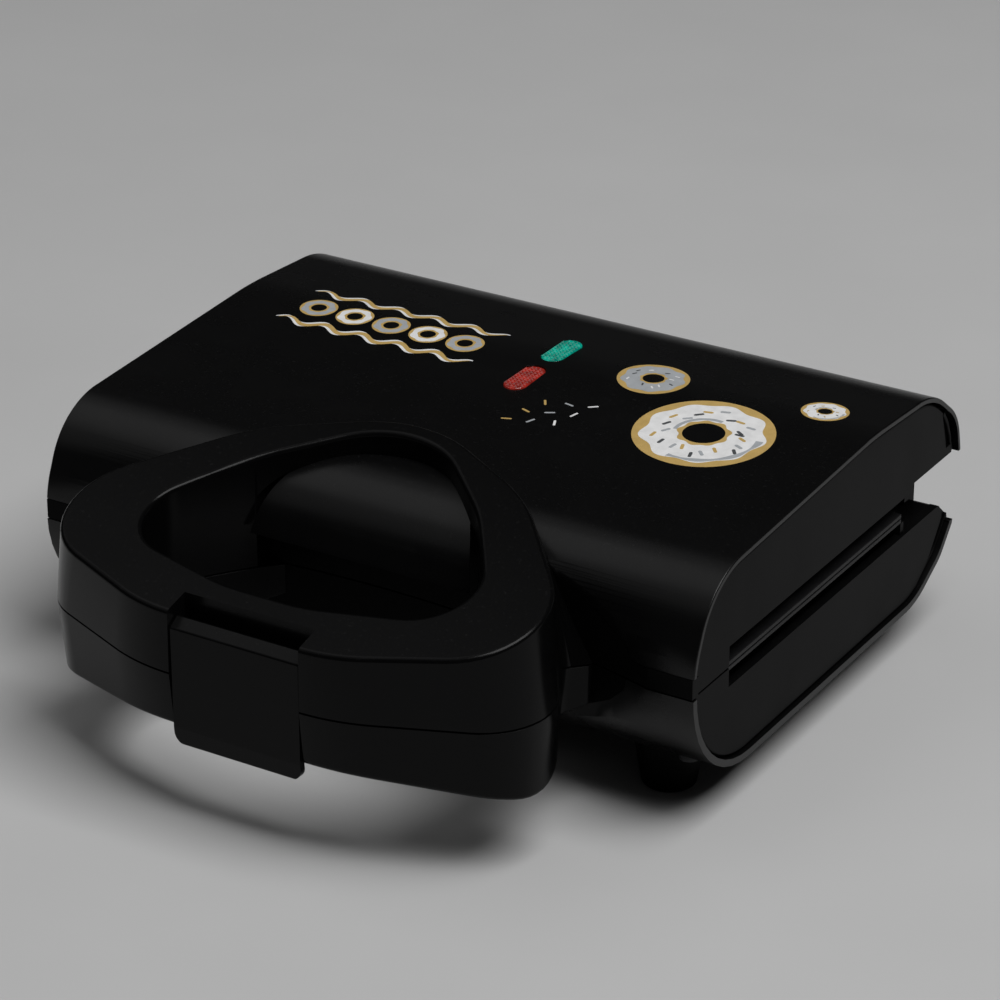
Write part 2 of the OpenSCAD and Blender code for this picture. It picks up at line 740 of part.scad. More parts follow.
module latch_clip() {
    crease_z = parting_z + latch_top;
    fold_z = crease_z - latch_face;
    tip_z = fold_z - latch_lip;
    lean = latch_lip * latch_lean;
    section = [[latch_face_y, crease_z, 1.2], [latch_face_y, fold_z, 2], [latch_face_y + lean, tip_z, 0.9],
               [latch_back_y + lean, tip_z, 0.9], [latch_back_y, fold_z, 2],
               [latch_back_y, notch_z + 1, 0.4], [latch_y, notch_z + 0.4, 0],
               [latch_y + latch_knuckle_r * 0.8, latch_z + 1.5, 0],
               [latch_y, crease_z + latch_hood_rise, 0.8]];
    color("#141415") difference() {
        union() {
            intersection() {
                along_x(-latch_w / 2, latch_w / 2) polygon(rounded(section));
                union() {
                    block([-far, far], [-far, far], [fold_z - 1, far]);
                    block([4 - latch_w / 2, latch_w / 2 - 4], [-far, far], [0, far]);
                    for (x = [4 - latch_w / 2, latch_w / 2 - 4])
                        translate([x, 0, tip_z + 4]) rotate([90, 0, 0]) cylinder(r = 4, h = far, center = true);
                }
            }
            translate([-latch_w / 2, latch_y, latch_z]) rotate([0, 90, 0])
                cylinder(r = latch_knuckle_r, h = latch_w);
        }
        translate([-latch_w, latch_y, latch_z]) rotate([0, 90, 0])
            cylinder(r = latch_pin_r + running, h = 2 * latch_w);
    }
}

// ---- Base ----

base_screw_places = [[panel_in_x - 7, front_y + 19, contact_z - ledge_h - housing_wall],
                     [half_w - 50, rear_y - 22, deck_z - housing_wall]];
feet_places = [[foot_x, front_y + foot_front_y], [foot_x, rear_y - foot_rear_y]];
foot_boss_top = under_z + base_wall + 9;
gland_z = deck_z - 15.6;
gland_end_y = rear_y - 1.2;
gland_r = cord_bore_r + 2;

module bottom_cover() {
    boss_r = screw_r + boss_wall;
    color("#171718") difference() {
        union() {
            difference() {
                shell_ring(base_outline, 0, base_wall, half_w);
                block([-far, far], [-far, far], [base_top_z, far]);
                block([-far, far], [front_y + 7, far], [deck_edge_z, far]);
                recess();
            }
            for (p = base_screw_places) both_sides() intersection() {
                translate([p.x, p.y, 0]) cylinder(r = boss_r + 2, h = under_z + base_wall + 7);
                slab(base_wall / 2, base_outline, half_w);
            }
            for (p = feet_places) both_sides() intersection() {
                translate([p.x, p.y, 0]) cylinder(r = boss_r, h = foot_boss_top);
                slab(base_wall / 2, base_outline, half_w);
            }
            difference() {
                translate([0, gland_end_y - 2, gland_z]) rotate([90, 0, 0]) cylinder(r = gland_r + 1.8, h = 11);
                slab(base_wall / 2, base_outline, half_w);
            }
        }
        for (p = base_screw_places) both_sides() {
            translate([p.x, p.y, 0]) cylinder(r = screw_r + clear, h = parting_z);
            translate([p.x, p.y, 0]) cylinder(r = screw_head_r + 0.4, h = under_z + base_wall + 4);
        }
        for (p = feet_places) both_sides()
            translate([p.x, p.y, 0]) cylinder(r = screw_r + running, h = foot_boss_top + 1);
        translate([0, rear_y + 5, gland_z]) rotate([90, 0, 0]) cylinder(r = gland_r + running, h = 30);
    }
}

module base_end_panel() {
    along_x(panel_in_x, panel_x) difference() {
        polygon(rounded(base_outline, base_wall + base_groove));
        translate([-far, base_top_z]) square([2 * far, far]);
        translate([plate_front_y - 0.5, base_panel_z]) square([far, far]);
    }
}

module base_housing() {
    ear_in = knuckle_w / 2 + 0.3;
    color("#1a1a1b") difference() {
        union() {
            both_sides() base_end_panel();
            lower_side() housing_frame(recess_r + housing_wall + clear);
            intersection() {
                shell_ring(base_outline, 0, housing_wall + 0.2, panel_x);
                block([-far, far], [plate_rear_y + 0.4, far],
                      [deck_edge_z + clear, contact_z - ledge_h + 0.01 + housing_wall]);
            }
            for (p = [base_screw_places[1]]) both_sides() intersection() {
                translate([p.x, p.y, under_z + base_wall + 7 + clear]) cylinder(r = screw_r + boss_wall, h = far);
                slab(housing_wall / 2, base_outline, half_w);
            }
            both_sides() {
                intersection() {
                    translate([base_screw_places[0].x, base_screw_places[0].y, under_z + base_wall + 7 + clear])
                        cylinder(r = screw_r + boss_wall,
                                 h = contact_z - ledge_h - under_z - base_wall - 7 - clear);
                    slab(base_wall + clear, base_outline, half_w);
                }
                block([panel_in_x - 11, panel_in_x + 0.5], [front_y + 12, skirt_back_y],
                      [contact_z - ledge_h - housing_wall, contact_z - ledge_h]);
                for (side = [-1, 1]) hinge_ear(hinge_x + side * (ear_in + ear_t / 2));
            }
        }
        both_sides() translate([hinge_x - 20, hinge_y, hinge_z]) rotate([0, 90, 0])
            cylinder(r = hinge_pin_r + running, h = 40);
        for (p = base_screw_places) both_sides()
            translate([p.x, p.y, under_z]) cylinder(r = screw_r + running, h = p.z - under_z - 1 + 0.01);
    }
}

// Curved wall behind the lower handle, held between the bottom cover and the housing's front flange
module lower_handle_bracket() {
    color("#1a1a1b") difference() {
        intersection() {
            recess_wall([under_z, base_top_z]);
            slab(base_wall + clear, base_outline, panel_in_x - clear);
        }
        handle_screw_sites(lower_screw_z) translate([0, -5, 0]) rotate([-90, 0, 0])
            cylinder(r = screw_r + clear, h = 12);
    }
}

module hinge_ear(x) {
    translate([x - ear_t / 2, hinge_y, hinge_z]) rotate([0, 90, 0]) cylinder(r = knuckle_r, h = ear_t);
    block([x - ear_t / 2, x + ear_t / 2], [hinge_y - knuckle_r, hinge_y + knuckle_r - 2],
          [deck_z - housing_wall, hinge_z]);
}

module lower_handle() {
    color("#151516") difference() {
        translate([0, 0, base_top_z]) mirror([0, 0, 1])
            handle_half(parting_outline, lower_outline, [handle_drop, handle_drop_tilt, handle_root_drop]);
        difference() {
            slab(-clear, base_outline, half_w);
            recess(-clear);
        }
        block([-channel_x, channel_x], [-far, channel_y + latch_lip * latch_lean], [0, far]);
        handle_screw_sites(lower_screw_z) translate([0, -9, 0]) rotate([-90, 0, 0])
            cylinder(r = screw_r + running, h = 12);
    }
}

module lower_plate() {
    color("#2f2f31") lower_side() baking_plate();
}

module lower_mould_1() {
    color("#2f2f31") lower_side() ring_mould(0);
}

module lower_mould_2() {
    color("#2f2f31") lower_side() ring_mould(1);
}

module lower_mould_3() {
    color("#2f2f31") lower_side() ring_mould(2);
}

module lower_mould_4() {
    color("#2f2f31") lower_side() ring_mould(3);
}

module lower_mould_5() {
    color("#2f2f31") lower_side() ring_mould(4);
}

module lower_mould_6() {
    color("#2f2f31") lower_side() ring_mould(5);
}

module lower_heater() {
    color("#8d8f92") lower_side() heater();
}

module lower_reflector() {
    color("#c3c6c9") lower_side() reflector();
}

module lower_plate_screws() {
    color("#b9bcc0") lower_side() plate_screws();
}

module lower_handle_screws() {
    color("#b9bcc0") handle_screws(lower_screw_z);
}

module base_screws() {
    color("#b9bcc0") for (p = base_screw_places) both_sides()
        translate([p.x, p.y, under_z + base_wall + 4 - running]) screw(p.z - under_z - base_wall - 6);
}

module hinge_pins() {
    l = knuckle_w + 0.6 + 2 * ear_t;
    color("#b9bcc0") both_sides() translate([hinge_x - l / 2, hinge_y, hinge_z]) rotate([0, 90, 0])
        cylinder(r = hinge_pin_r, h = l);
}

// ---- Electrical pieces in the base, below the lower reflector ----

low_reflector_z = contact_z - reflector_h - reflector_t;
thermostat_z = low_reflector_z - clear / 2 - thermostat_h;
pole_x = 5;
wire_r = 1.3;
pole_wire_z = thermostat_z - 0.4;
heater_wire_z = contact_z - heater_end_h - wire_r - 0.1;
heater_side_y = [for (side = [-1, 1]) plate_mid_y + side * heater_bend_r];
fuse_x = 40;
fuse_r = 2;

module thermostat() {
    color("#c9c2b4") translate([0, plate_mid_y, thermostat_z]) cylinder(r = thermostat_r, h = thermostat_h);
    color("#b9bcc0") for (x = [-pole_x, pole_x])
        block([x - 2, x + 2], [plate_mid_y - thermostat_r, plate_mid_y + thermostat_r + 4],
              [thermostat_z - 0.8, thermostat_z]);
}

module thermal_fuse() {
    clip_x = 5;
    color("#c8a878") translate([fuse_x, heater_side_y[0], heater_wire_z]) rotate([0, 90, 0]) {
        cylinder(r = fuse_r, h = 14, center = true);
        cylinder(r = 0.6, h = 30, center = true);
    }
    color("#b9bcc0") for (side = [-1, 1])
        translate([fuse_x + side * clip_x, heater_side_y[0], 0]) difference() {
            block([-1.5, 1.5], [-fuse_r - 1.2, fuse_r + 1.2],
                  [heater_wire_z - fuse_r - 1, low_reflector_z - clear / 2]);
            translate([0, 0, heater_wire_z]) rotate([0, 90, 0])
                cylinder(r = fuse_r + running, h = 5, center = true);
        }
}

block_half = [14, 8];
block_floor_z = under_z + base_wall + 0.6;
module terminal_block() {
    color("#ddd8cc") difference() {
        block([-block_half.x, block_half.x], [heater_side_y[1] - block_half.y, heater_side_y[1] + block_half.y],
              [block_floor_z, pole_wire_z + 4]);
        for (x = [-pole_x, pole_x]) {
            translate([x, heater_side_y[1] - block_half.y - 1, pole_wire_z]) rotate([-90, 0, 0])
                cylinder(r = wire_r + 0.3, h = 2 * block_half.y + 2);
            translate([x, heater_side_y[1], pole_wire_z]) cylinder(r = 1.6, h = 6);
        }
    }
}

// Leads from the terminal block to the thermostat, and from the heater's ends to the block and the fuse
module base_wires() {
    pole_y = plate_mid_y + thermostat_r + 4.2;
    color("#e8e4da") {
        for (x = [-pole_x, pole_x])
            translate([x, pole_y, pole_wire_z]) rotate([-90, 0, 0])
                cylinder(r = wire_r, h = heater_side_y[1] - block_half.y + 4 - pole_y);
        translate([-heater_run - 2, heater_side_y[1], heater_wire_z]) rotate([0, 90, 0])
            cylinder(r = wire_r, h = heater_run + 2 - block_half.x - 0.2);
        translate([-heater_run - 2, heater_side_y[0], heater_wire_z]) rotate([0, 90, 0])
            cylinder(r = wire_r, h = heater_run + 2 + fuse_x - 15.2);
    }
}

// Leads from the lid heater's ends to the lamps and back towards the hinge
module lid_wires() {
    z = contact_z + heater_end_h + wire_r + 0.1;
    color("#e8e4da") {
        translate([-heater_run - 2, heater_side_y[1], z]) rotate([0, 90, 0])
            cylinder(r = wire_r, h = heater_run + 2 + lamp_x - lens_w / 2 - 4.2);
        translate([-heater_run, heater_side_y[0] - 2, z]) rotate([-90, 0, 0])
            cylinder(r = wire_r, h = heater_side_y[1] - heater_side_y[0] + 2 - wire_r - 0.2);
    }
}

module cord_gland() {
    color("#101010") difference() {
        translate([0, gland_end_y, gland_z]) rotate([90, 0, 0]) {
            cylinder(r = gland_r, h = gland_l);
            cylinder(r = gland_r + 1.6, h = 1.9);
            translate([0, 0, gland_l - 1.5]) cylinder(r = gland_r, h = 1.5);
        }
        translate([0, gland_end_y + 1, gland_z]) rotate([90, 0, 0]) cylinder(r = cord_bore_r, h = gland_l + 2);
    }
}

module foot(place, side) {
    color("#121213") difference() {
        translate([side * place.x, place.y, 0]) {
            cylinder(r1 = foot_r - 0.8, r2 = foot_r, h = 0.8);
            translate([0, 0, 0.8]) cylinder(r1 = foot_r, r2 = foot_top_r, h = under_z - 0.8);
            translate([0, 0, under_z]) cylinder(r = foot_top_r, h = 6);
        }
        slab(-0.05, base_outline, half_w);
        translate([side * place.x, place.y, -1]) cylinder(r = screw_head_r + 0.6, h = 6);
        translate([side * place.x, place.y, -1]) cylinder(r = screw_r + clear, h = far);
    }
}

module foot_front_left() {
    foot(feet_places[0], -1);
}

module foot_front_right() {
    foot(feet_places[0], 1);
}

module foot_rear_left() {
    foot(feet_places[1], -1);
}

module foot_rear_right() {
    foot(feet_places[1], 1);
}

module foot_screws() {
    color("#b9bcc0") for (p = feet_places) both_sides()
        translate([p.x, p.y, 5 - running]) screw(foot_boss_top - 6);
}

top_cover();
lid_housing();
upper_handle();
upper_plate();
upper_mould_1();
upper_mould_2();
upper_mould_3();
upper_mould_4();
upper_mould_5();
upper_mould_6();
upper_heater();
upper_reflector();
upper_plate_screws();
upper_handle_screws();
lid_screws();
green_lens();
red_lens();
lamp_holder();
neon_lamps();
lid_wires();
latch_pin();
latch_clip();
bottom_cover();
base_housing();
lower_handle_bracket();
lower_handle();
lower_plate();
lower_mould_1();
lower_mould_2();
lower_mould_3();
lower_mould_4();
lower_mould_5();
lower_mould_6();
lower_heater();
lower_reflector();
lower_plate_screws();
lower_handle_screws();
base_screws();
hinge_pins();
thermostat();
thermal_fuse();
terminal_block();
base_wires();
cord_gland();
foot_front_left();
foot_front_right();
foot_rear_left();
foot_rear_right();
foot_screws();
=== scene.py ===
"""Donut maker: the looks of its shells, handle, clip, lamps, print and plates, and the studio around it."""

import json
import logging
import math
from abc import ABC, abstractmethod
from collections.abc import Iterable, Sequence
from dataclasses import dataclass, field
from enum import Enum

import bmesh
import bpy
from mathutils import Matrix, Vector


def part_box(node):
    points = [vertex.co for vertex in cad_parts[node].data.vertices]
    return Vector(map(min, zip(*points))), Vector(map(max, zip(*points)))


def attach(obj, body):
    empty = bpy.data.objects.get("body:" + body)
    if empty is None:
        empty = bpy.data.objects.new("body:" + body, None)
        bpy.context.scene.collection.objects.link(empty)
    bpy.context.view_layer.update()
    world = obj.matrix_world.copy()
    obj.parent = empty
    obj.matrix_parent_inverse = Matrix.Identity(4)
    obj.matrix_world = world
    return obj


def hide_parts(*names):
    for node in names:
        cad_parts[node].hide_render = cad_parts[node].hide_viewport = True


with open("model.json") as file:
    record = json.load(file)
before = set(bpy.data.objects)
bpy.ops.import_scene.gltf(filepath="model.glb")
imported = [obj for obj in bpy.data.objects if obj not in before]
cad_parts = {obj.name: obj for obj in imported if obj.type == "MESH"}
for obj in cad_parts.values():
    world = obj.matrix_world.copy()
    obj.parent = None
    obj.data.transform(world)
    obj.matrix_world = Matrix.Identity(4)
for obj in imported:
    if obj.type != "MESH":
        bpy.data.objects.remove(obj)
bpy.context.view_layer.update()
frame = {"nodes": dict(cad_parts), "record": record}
log = logging.getLogger("donut_maker")

MM = 0.001
FAR = 400.0
SMALLEST_RADIUS = 0.05
EDGE_TURNS = (0, 22.5, 45, 67.5, 90)
WELD_DISTANCE = 0.01
FLAT_ANGLE = 0.4
CRISP_ANGLE = 50.0
RGB = tuple[float, float, float]
Line = tuple[tuple[float, float], ...]


class Body(Enum):
    """The bodies that pieces ride on."""

    BASE = "base"
    LID = "lid"
    LATCH = "latch"


class Axis(Enum):
    """The direction in which an outline is drawn out, and how its (u, v) plane lies."""

    X = "x"
    Y = "y"
    Z = "z"

    def place(self, u: float, v: float, along: float) -> Vector:
        """A point of the outline's plane in space.

        Args:
            u: First coordinate in the outline's plane.
            v: Second coordinate in the outline's plane.
            along: Distance along the axis.

        Returns:
            The point, in the units of the arguments.
        """
        if self is Axis.X:
            return Vector((along, u, v))
        if self is Axis.Y:
            return Vector((u, along, v))
        return Vector((u, v, along))


class Cut(Enum):
    """How a tool works on a solid."""

    TAKE_AWAY = "DIFFERENCE"
    ADD = "UNION"
    KEEP_COMMON = "INTERSECT"


# ---- Outlines ----


@dataclass(frozen=True)
class Corner:
    """One corner of an outline, in millimetres, with the radius that rounds it."""

    u: float
    v: float
    radius: float = 0.0

    @property
    def tip(self) -> Vector:
        """The corner before it is rounded."""
        return Vector((self.u, self.v))

    def mirrored(self) -> "Corner":
        """The same corner on the other side of u = 0."""
        return Corner(-self.u, self.v, self.radius)

    def arc(self, before: "Corner", after: "Corner", inset: float, steps: int) -> list[Vector]:
        """The rounded corner of an outline that is moved inwards.

        Args:
            before: The corner that comes before this one.
            after: The corner that comes after this one.
            inset: Distance by which the outline moves inwards.
            steps: Number of chords in the arc.

        Returns:
            The arc's points, or one point where the corner is sharp.
        """
        to_before = (before.tip - self.tip).normalized()
        to_after = (after.tip - self.tip).normalized()
        turn = to_after.x * to_before.y - to_after.y * to_before.x
        side = 1.0 if turn >= 0 else -1.0
        half = to_before.angle(to_after) / 2
        bisector = (to_before + to_after).normalized()
        moved = self.tip + bisector * (side * inset / math.sin(half))
        if self.radius == 0:
            return [moved]
        radius = max(self.radius - side * inset, SMALLEST_RADIUS)
        middle = moved + bisector * (radius / math.sin(half))
        reach = radius / math.tan(half)
        first = moved + to_before * reach - middle
        last = moved + to_after * reach - middle
        sweep = math.pi - 2 * half
        shares = [step / steps for step in range(steps + 1)]
        return [
            middle + (first * math.sin(sweep * (1 - s)) + last * math.sin(sweep * s)) / math.sin(sweep)
            for s in shares
        ]


@dataclass(frozen=True)
class Outline:
    """A closed outline with rounded corners, counter-clockwise, in millimetres."""

    corners: tuple[Corner, ...]

    def points(self, inset: float = 0.0, steps: int = 16, fill: int = 0) -> list[Vector]:
        """All points of the outline.

        Args:
            inset: Distance by which the outline moves inwards.
            steps: Number of chords in each rounded corner.
            fill: Number of points added on each straight stretch.

        Returns:
            The points in order.
        """
        count = len(self.corners)
        arcs = [
            here.arc(self.corners[index - 1], self.corners[(index + 1) % count], inset, steps)
            for index, here in enumerate(self.corners)
        ]
        found: list[Vector] = []
        for index, arc in enumerate(arcs):
            found += arc
            start, end = arc[-1], arcs[(index + 1) % count][0]
            found += [start.lerp(end, (k + 1) / (fill + 1)) for k in range(fill)]
        return found

    def top_at(self, u: float) -> float:
        """The outline's greatest height over a place.

        Args:
            u: The place, in the outline's first coordinate.

        Returns:
            The height, in the outline's second coordinate.
        """
        ring = self.points(steps=24)
        heights = []
        for start, end in zip(ring, ring[1:] + ring[:1]):
            low, high = sorted((start.x, end.x))
            if low <= u <= high and high > low:
                share = (u - start.x) / (end.x - start.x)
                heights.append(start.y + (end.y - start.y) * share)
        return max(heights)


def symmetric(half: Sequence[Corner]) -> Outline:
    """A plan outline from its right half.

    Args:
        half: Front bend, front corner, waist, flare and rear end.

    Returns:
        The outline.
    """
    left = [half[0].mirrored()]
    back = [corner.mirrored() for corner in reversed(half[1:-1])]
    return Outline(tuple(left + list(half) + back))


def rectangle(u: tuple[float, float], v: tuple[float, float], radius: float = 0.0) -> Outline:
    """A rectangle with rounded corners.

    Args:
        u: Lowest and highest first coordinate.
        v: Lowest and highest second coordinate.
        radius: Radius of the corners.

    Returns:
        The outline.
    """
    places = [(u[0], v[0]), (u[1], v[0]), (u[1], v[1]), (u[0], v[1])]
    return Outline(tuple(Corner(a, b, radius) for a, b in places))


def circle(centre: tuple[float, float], radius: float, count: int = 64) -> list[Vector]:
    """Points of a circle.

    Args:
        centre: The centre.
        radius: The radius.
        count: Number of points.

    Returns:
        The points, counter-clockwise.
    """
    turns = [2 * math.pi * k / count for k in range(count)]
    return [Vector((centre[0] + radius * math.cos(t), centre[1] + radius * math.sin(t))) for t in turns]


# ---- Solids ----


def new_piece(name: str, verts: Iterable[Vector], faces: Iterable[Sequence[int]]) -> bpy.types.Object:
    """A mesh object from points in millimetres.

    Args:
        name: Name of the piece.
        verts: The points.
        faces: Lists of point numbers.

    Returns:
        The object, in metres, with its faces turned outwards.
    """
    mesh = bpy.data.meshes.new(name)
    mesh.from_pydata([point * MM for point in verts], [], list(faces))
    work = bmesh.new()
    work.from_mesh(mesh)
    bmesh.ops.recalc_face_normals(work, faces=work.faces)
    work.to_mesh(mesh)
    work.free()
    piece = bpy.data.objects.new(name, mesh)
    bpy.context.scene.collection.objects.link(piece)
    return piece


def loft(name: str, rows: Sequence[Sequence[Vector]], ring: bool = False) -> bpy.types.Object:
    """A surface through closed rows of points, capped at both ends or closed to a ring.

    Args:
        name: Name of the piece.
        rows: Rows with the same number of points each.
        ring: Whether the last row joins the first one.

    Returns:
        The object.
    """
    width = len(rows[0])
    verts = [point for row in rows for point in row]
    spans = len(rows) if ring else len(rows) - 1
    faces: list[Sequence[int]] = []
    for i in range(spans):
        low, high = i * width, ((i + 1) % len(rows)) * width
        for j in range(width):
            k = (j + 1) % width
            faces.append((low + j, low + k, high + k, high + j))
    if not ring:
        faces.append(tuple(reversed(range(width))))
        faces.append(tuple(range(spans * width, (spans + 1) * width)))
    return new_piece(name, verts, faces)


def prism(
    name: str,
    outline: Outline | Sequence[Vector],
    span: tuple[float, float],
    axis: Axis = Axis.X,
    inset: float = 0.0,
    edge: float = 0.0,
    steps: int = 16,
) -> bpy.types.Object:
    """An outline drawn out along an axis, with rounded end edges if they are asked for.

    Args:
        name: Name of the piece.
        outline: The outline, or its points where no edge is rounded.
        span: Where the piece starts and ends along the axis.
        axis: The axis.
        inset: Distance by which the outline moves inwards.
        edge: Radius of the end edges.
        steps: Number of chords in each rounded corner.

    Returns:
        The object.
    """
    if not isinstance(outline, Outline):
        flat = [list(outline), list(outline)]
        stations = list(span)
    else:
        turns = [math.radians(a) for a in EDGE_TURNS] if edge else [math.pi / 2]
        ends = [(edge * (1 - math.sin(t)), edge * (1 - math.cos(t))) for t in turns]
        flat = [outline.points(inset + d, steps) for d, _ in ends]
        stations = [span[0] + s for _, s in ends]
        flat += list(reversed(flat))
        stations += [span[1] - s for _, s in reversed(ends)]
    rows = [[axis.place(p.x, p.y, at) for p in row] for row, at in zip(flat, stations)]
    return loft(name, rows)


def block(
    x: tuple[float, float], y: tuple[float, float], z: tuple[float, float], name: str = "tool"
) -> bpy.types.Object:
    """A rectangular tool.

    Args:
        x: Extent in X.
        y: Extent in Y.
        z: Extent in Z.
        name: Name of the tool.

    Returns:
        The object.
    """
    return prism(name, rectangle(y, z).points(), x)


def settle(piece: bpy.types.Object) -> None:
    """Turns a piece's modifiers into its mesh.

    Args:
        piece: The piece.
    """
    graph = bpy.context.evaluated_depsgraph_get()
    finished = bpy.data.meshes.new_from_object(piece.evaluated_get(graph))
    old = piece.data
    piece.modifiers.clear()
    piece.data = finished
    finished.name = piece.name
    bpy.data.meshes.remove(old)


def carve(piece: bpy.types.Object, *tools: bpy.types.Object, how: Cut = Cut.TAKE_AWAY) -> bpy.types.Object:
    """Cuts a solid with tools, which are used up.

    Args:
        piece: The solid.
        tools: The tools, one after the other.
        how: What each tool does.

    Returns:
        The solid.
    """
    for tool in tools:
        step = piece.modifiers.new("cut", "BOOLEAN")
        step.operation = how.value
        step.solver = "EXACT"
        step.object = tool
        settle(piece)
        bpy.data.objects.remove(tool, do_unlink=True)
    return piece


def smooth(piece: bpy.types.Object, angle: float = 32.0) -> bpy.types.Object:
    """Shades a piece smooth, with crisp edges where faces meet at more than an angle.

    Args:
        piece: The piece.
        angle: The angle, in degrees.

    Returns:
        The piece.
    """
    work = bmesh.new()
    work.from_mesh(piece.data)
    bmesh.ops.remove_doubles(work, verts=work.verts, dist=2e-6)
    for face in work.faces:
        face.smooth = True
    limit = math.radians(angle)
    for line in work.edges:
        line.smooth = len(line.link_faces) == 2 and line.calc_face_angle(math.pi) < limit
    work.to_mesh(piece.data)
    work.free()
    weight = piece.modifiers.new("even normals", "WEIGHTED_NORMAL")
    weight.keep_sharp = True
    return piece


# ---- Shader graphs ----


class Graph:
    """A node tree with short calls that add and join its nodes."""

    def __init__(self, tree: bpy.types.NodeTree) -> None:
        """Takes the tree to build in."""
        self.tree = tree

    def add(self, kind: str, inputs: dict[str, object] | None = None, **settings: object) -> bpy.types.Node:
        """Adds a node.

        Args:
            kind: Blender's name of the node type.
            inputs: Values or output sockets for its inputs, by name.
            settings: Values for the node's own settings.

        Returns:
            The node.
        """
        node = self.tree.nodes.new(kind)
        for name, value in settings.items():
            setattr(node, name, value)
        for name, value in (inputs or {}).items():
            self.feed(node.inputs[name], value)
        return node

    def feed(self, socket: bpy.types.NodeSocket, value: object) -> None:
        """Gives an input a value, or joins an output to it.

        Args:
            socket: The input.
            value: The value or the output socket.
        """
        if isinstance(value, bpy.types.NodeSocket):
            self.tree.links.new(value, socket)
        else:
            socket.default_value = value

    def maths(
        self, operation: str, first: object, second: object = 0.0, clamp: bool = False
    ) -> bpy.types.NodeSocket:
        """The result of a sum, product or other operation on two numbers.

        Args:
            operation: Blender's name of the operation.
            first: First number or socket.
            second: Second number or socket.
            clamp: Whether the result stays between 0 and 1.

        Returns:
            The output socket.
        """
        node = self.add("ShaderNodeMath", operation=operation, use_clamp=clamp)
        self.feed(node.inputs[0], first)
        self.feed(node.inputs[1], second)
        return node.outputs[0]

    def spread(
        self, value: object, low: float, high: float, to_low: float, to_high: float
    ) -> bpy.types.NodeSocket:
        """A number stretched from one range to another, and held inside it.

        Args:
            value: The number's socket.
            low: Lower end of the range that comes in.
            high: Upper end of the range that comes in.
            to_low: What the lower end becomes.
            to_high: What the upper end becomes.

        Returns:
            The output socket.
        """
        node = self.add("ShaderNodeMapRange")
        for socket, part in zip(node.inputs, (value, low, high, to_low, to_high)):
            self.feed(socket, part)
        return node.outputs[0]

    def mixed(self, share: object, first: object, second: object) -> bpy.types.NodeSocket:
        """A colour between two others.

        Args:
            share: Share of the second colour.
            first: First colour or socket.
            second: Second colour or socket.

        Returns:
            The output socket.
        """
        node = self.add("ShaderNodeMix", data_type="RGBA")
        self.feed(node.inputs[0], share)
        self.feed(node.inputs[6], first if isinstance(first, bpy.types.NodeSocket) else (*first, 1.0))
        self.feed(node.inputs[7], second if isinstance(second, bpy.types.NodeSocket) else (*second, 1.0))
        return node.outputs[2]

    def noise(
        self, scale: object, stretch: Sequence[float] = (1, 1, 1), detail: float = 2.0
    ) -> bpy.types.NodeSocket:
        """Noise over the piece's own coordinates.

        Args:
            scale: Features per metre, as a number or a socket.
            stretch: How much finer the noise is along each axis.
            detail: Number of finer layers.

        Returns:
            The output socket, from 0 to 1.
        """
        place = self.add("ShaderNodeTexCoord").outputs["Object"]
        mapped = self.add("ShaderNodeMapping", {"Vector": place, "Scale": tuple(stretch)}).outputs[0]
        inputs = {"Vector": mapped, "Scale": scale, "Detail": detail}
        return self.add("ShaderNodeTexNoise", inputs).outputs[0]


@dataclass(frozen=True)
class Effect(ABC):
    """A surface effect that many finishes share, kept as one shader node group."""

    name: str
    inputs: tuple[tuple[str, float], ...]
    outputs: tuple[str, ...]

    @abstractmethod
    def wire(self, graph: Graph, given: bpy.types.Node, result: bpy.types.Node) -> None:
        """Builds the group between its inputs and its outputs.

        Args:
            graph: The group's graph.
            given: The node that holds the group's inputs.
            result: The node that takes its outputs.
        """

    def group(self) -> bpy.types.NodeTree:
        """The node group, built the first time it is asked for."""
        if self.name in bpy.data.node_groups:
            return bpy.data.node_groups[self.name]
        tree = bpy.data.node_groups.new(self.name, "ShaderNodeTree")
        for label, value in self.inputs:
            socket = tree.interface.new_socket(label, in_out="INPUT", socket_type="NodeSocketFloat")
            socket.default_value = value
        for label in self.outputs:
            tree.interface.new_socket(label, in_out="OUTPUT", socket_type="NodeSocketFloat")
        graph = Graph(tree)
        self.wire(graph, graph.add("NodeGroupInput"), graph.add("NodeGroupOutput"))
        return tree

    def placed(self, graph: Graph, **values: float) -> bpy.types.Node:
        """The effect in a material.

        Args:
            graph: The material's graph.
            values: Values for the group's inputs, with _ for a space in their names.

        Returns:
            The group's node.
        """
        node = graph.add("ShaderNodeGroup", node_tree=self.group())
        for name, value in values.items():
            node.inputs[name.replace("_", " ")].default_value = value
        return node


class MouldedSkin(Effect):
    """The faint waviness and uneven gloss of an injection-moulded surface."""

    def wire(self, graph: Graph, given: bpy.types.Node, result: bpy.types.Node) -> None:
        """Broad waves and fine grain for the height, and slow cloudiness for the roughness.

        Args:
            graph: The group's graph.
            given: The node that holds the group's inputs.
            result: The node that takes its outputs.
        """
        fine = graph.noise(given.outputs["Grain"], detail=3)
        broad = graph.noise(38.0, detail=1)
        waves = graph.maths("MULTIPLY", broad, 0.65)
        graph.feed(result.inputs["Height"], graph.maths("ADD", graph.maths("MULTIPLY", fine, 0.35), waves))
        cloud = graph.maths("SUBTRACT", graph.noise(60.0, detail=4), 0.5)
        offset = graph.maths("MULTIPLY", cloud, given.outputs["Roughness Spread"])
        roughness = graph.maths("ADD", given.outputs["Roughness"], offset, clamp=True)
        graph.feed(result.inputs["Roughness"], roughness)


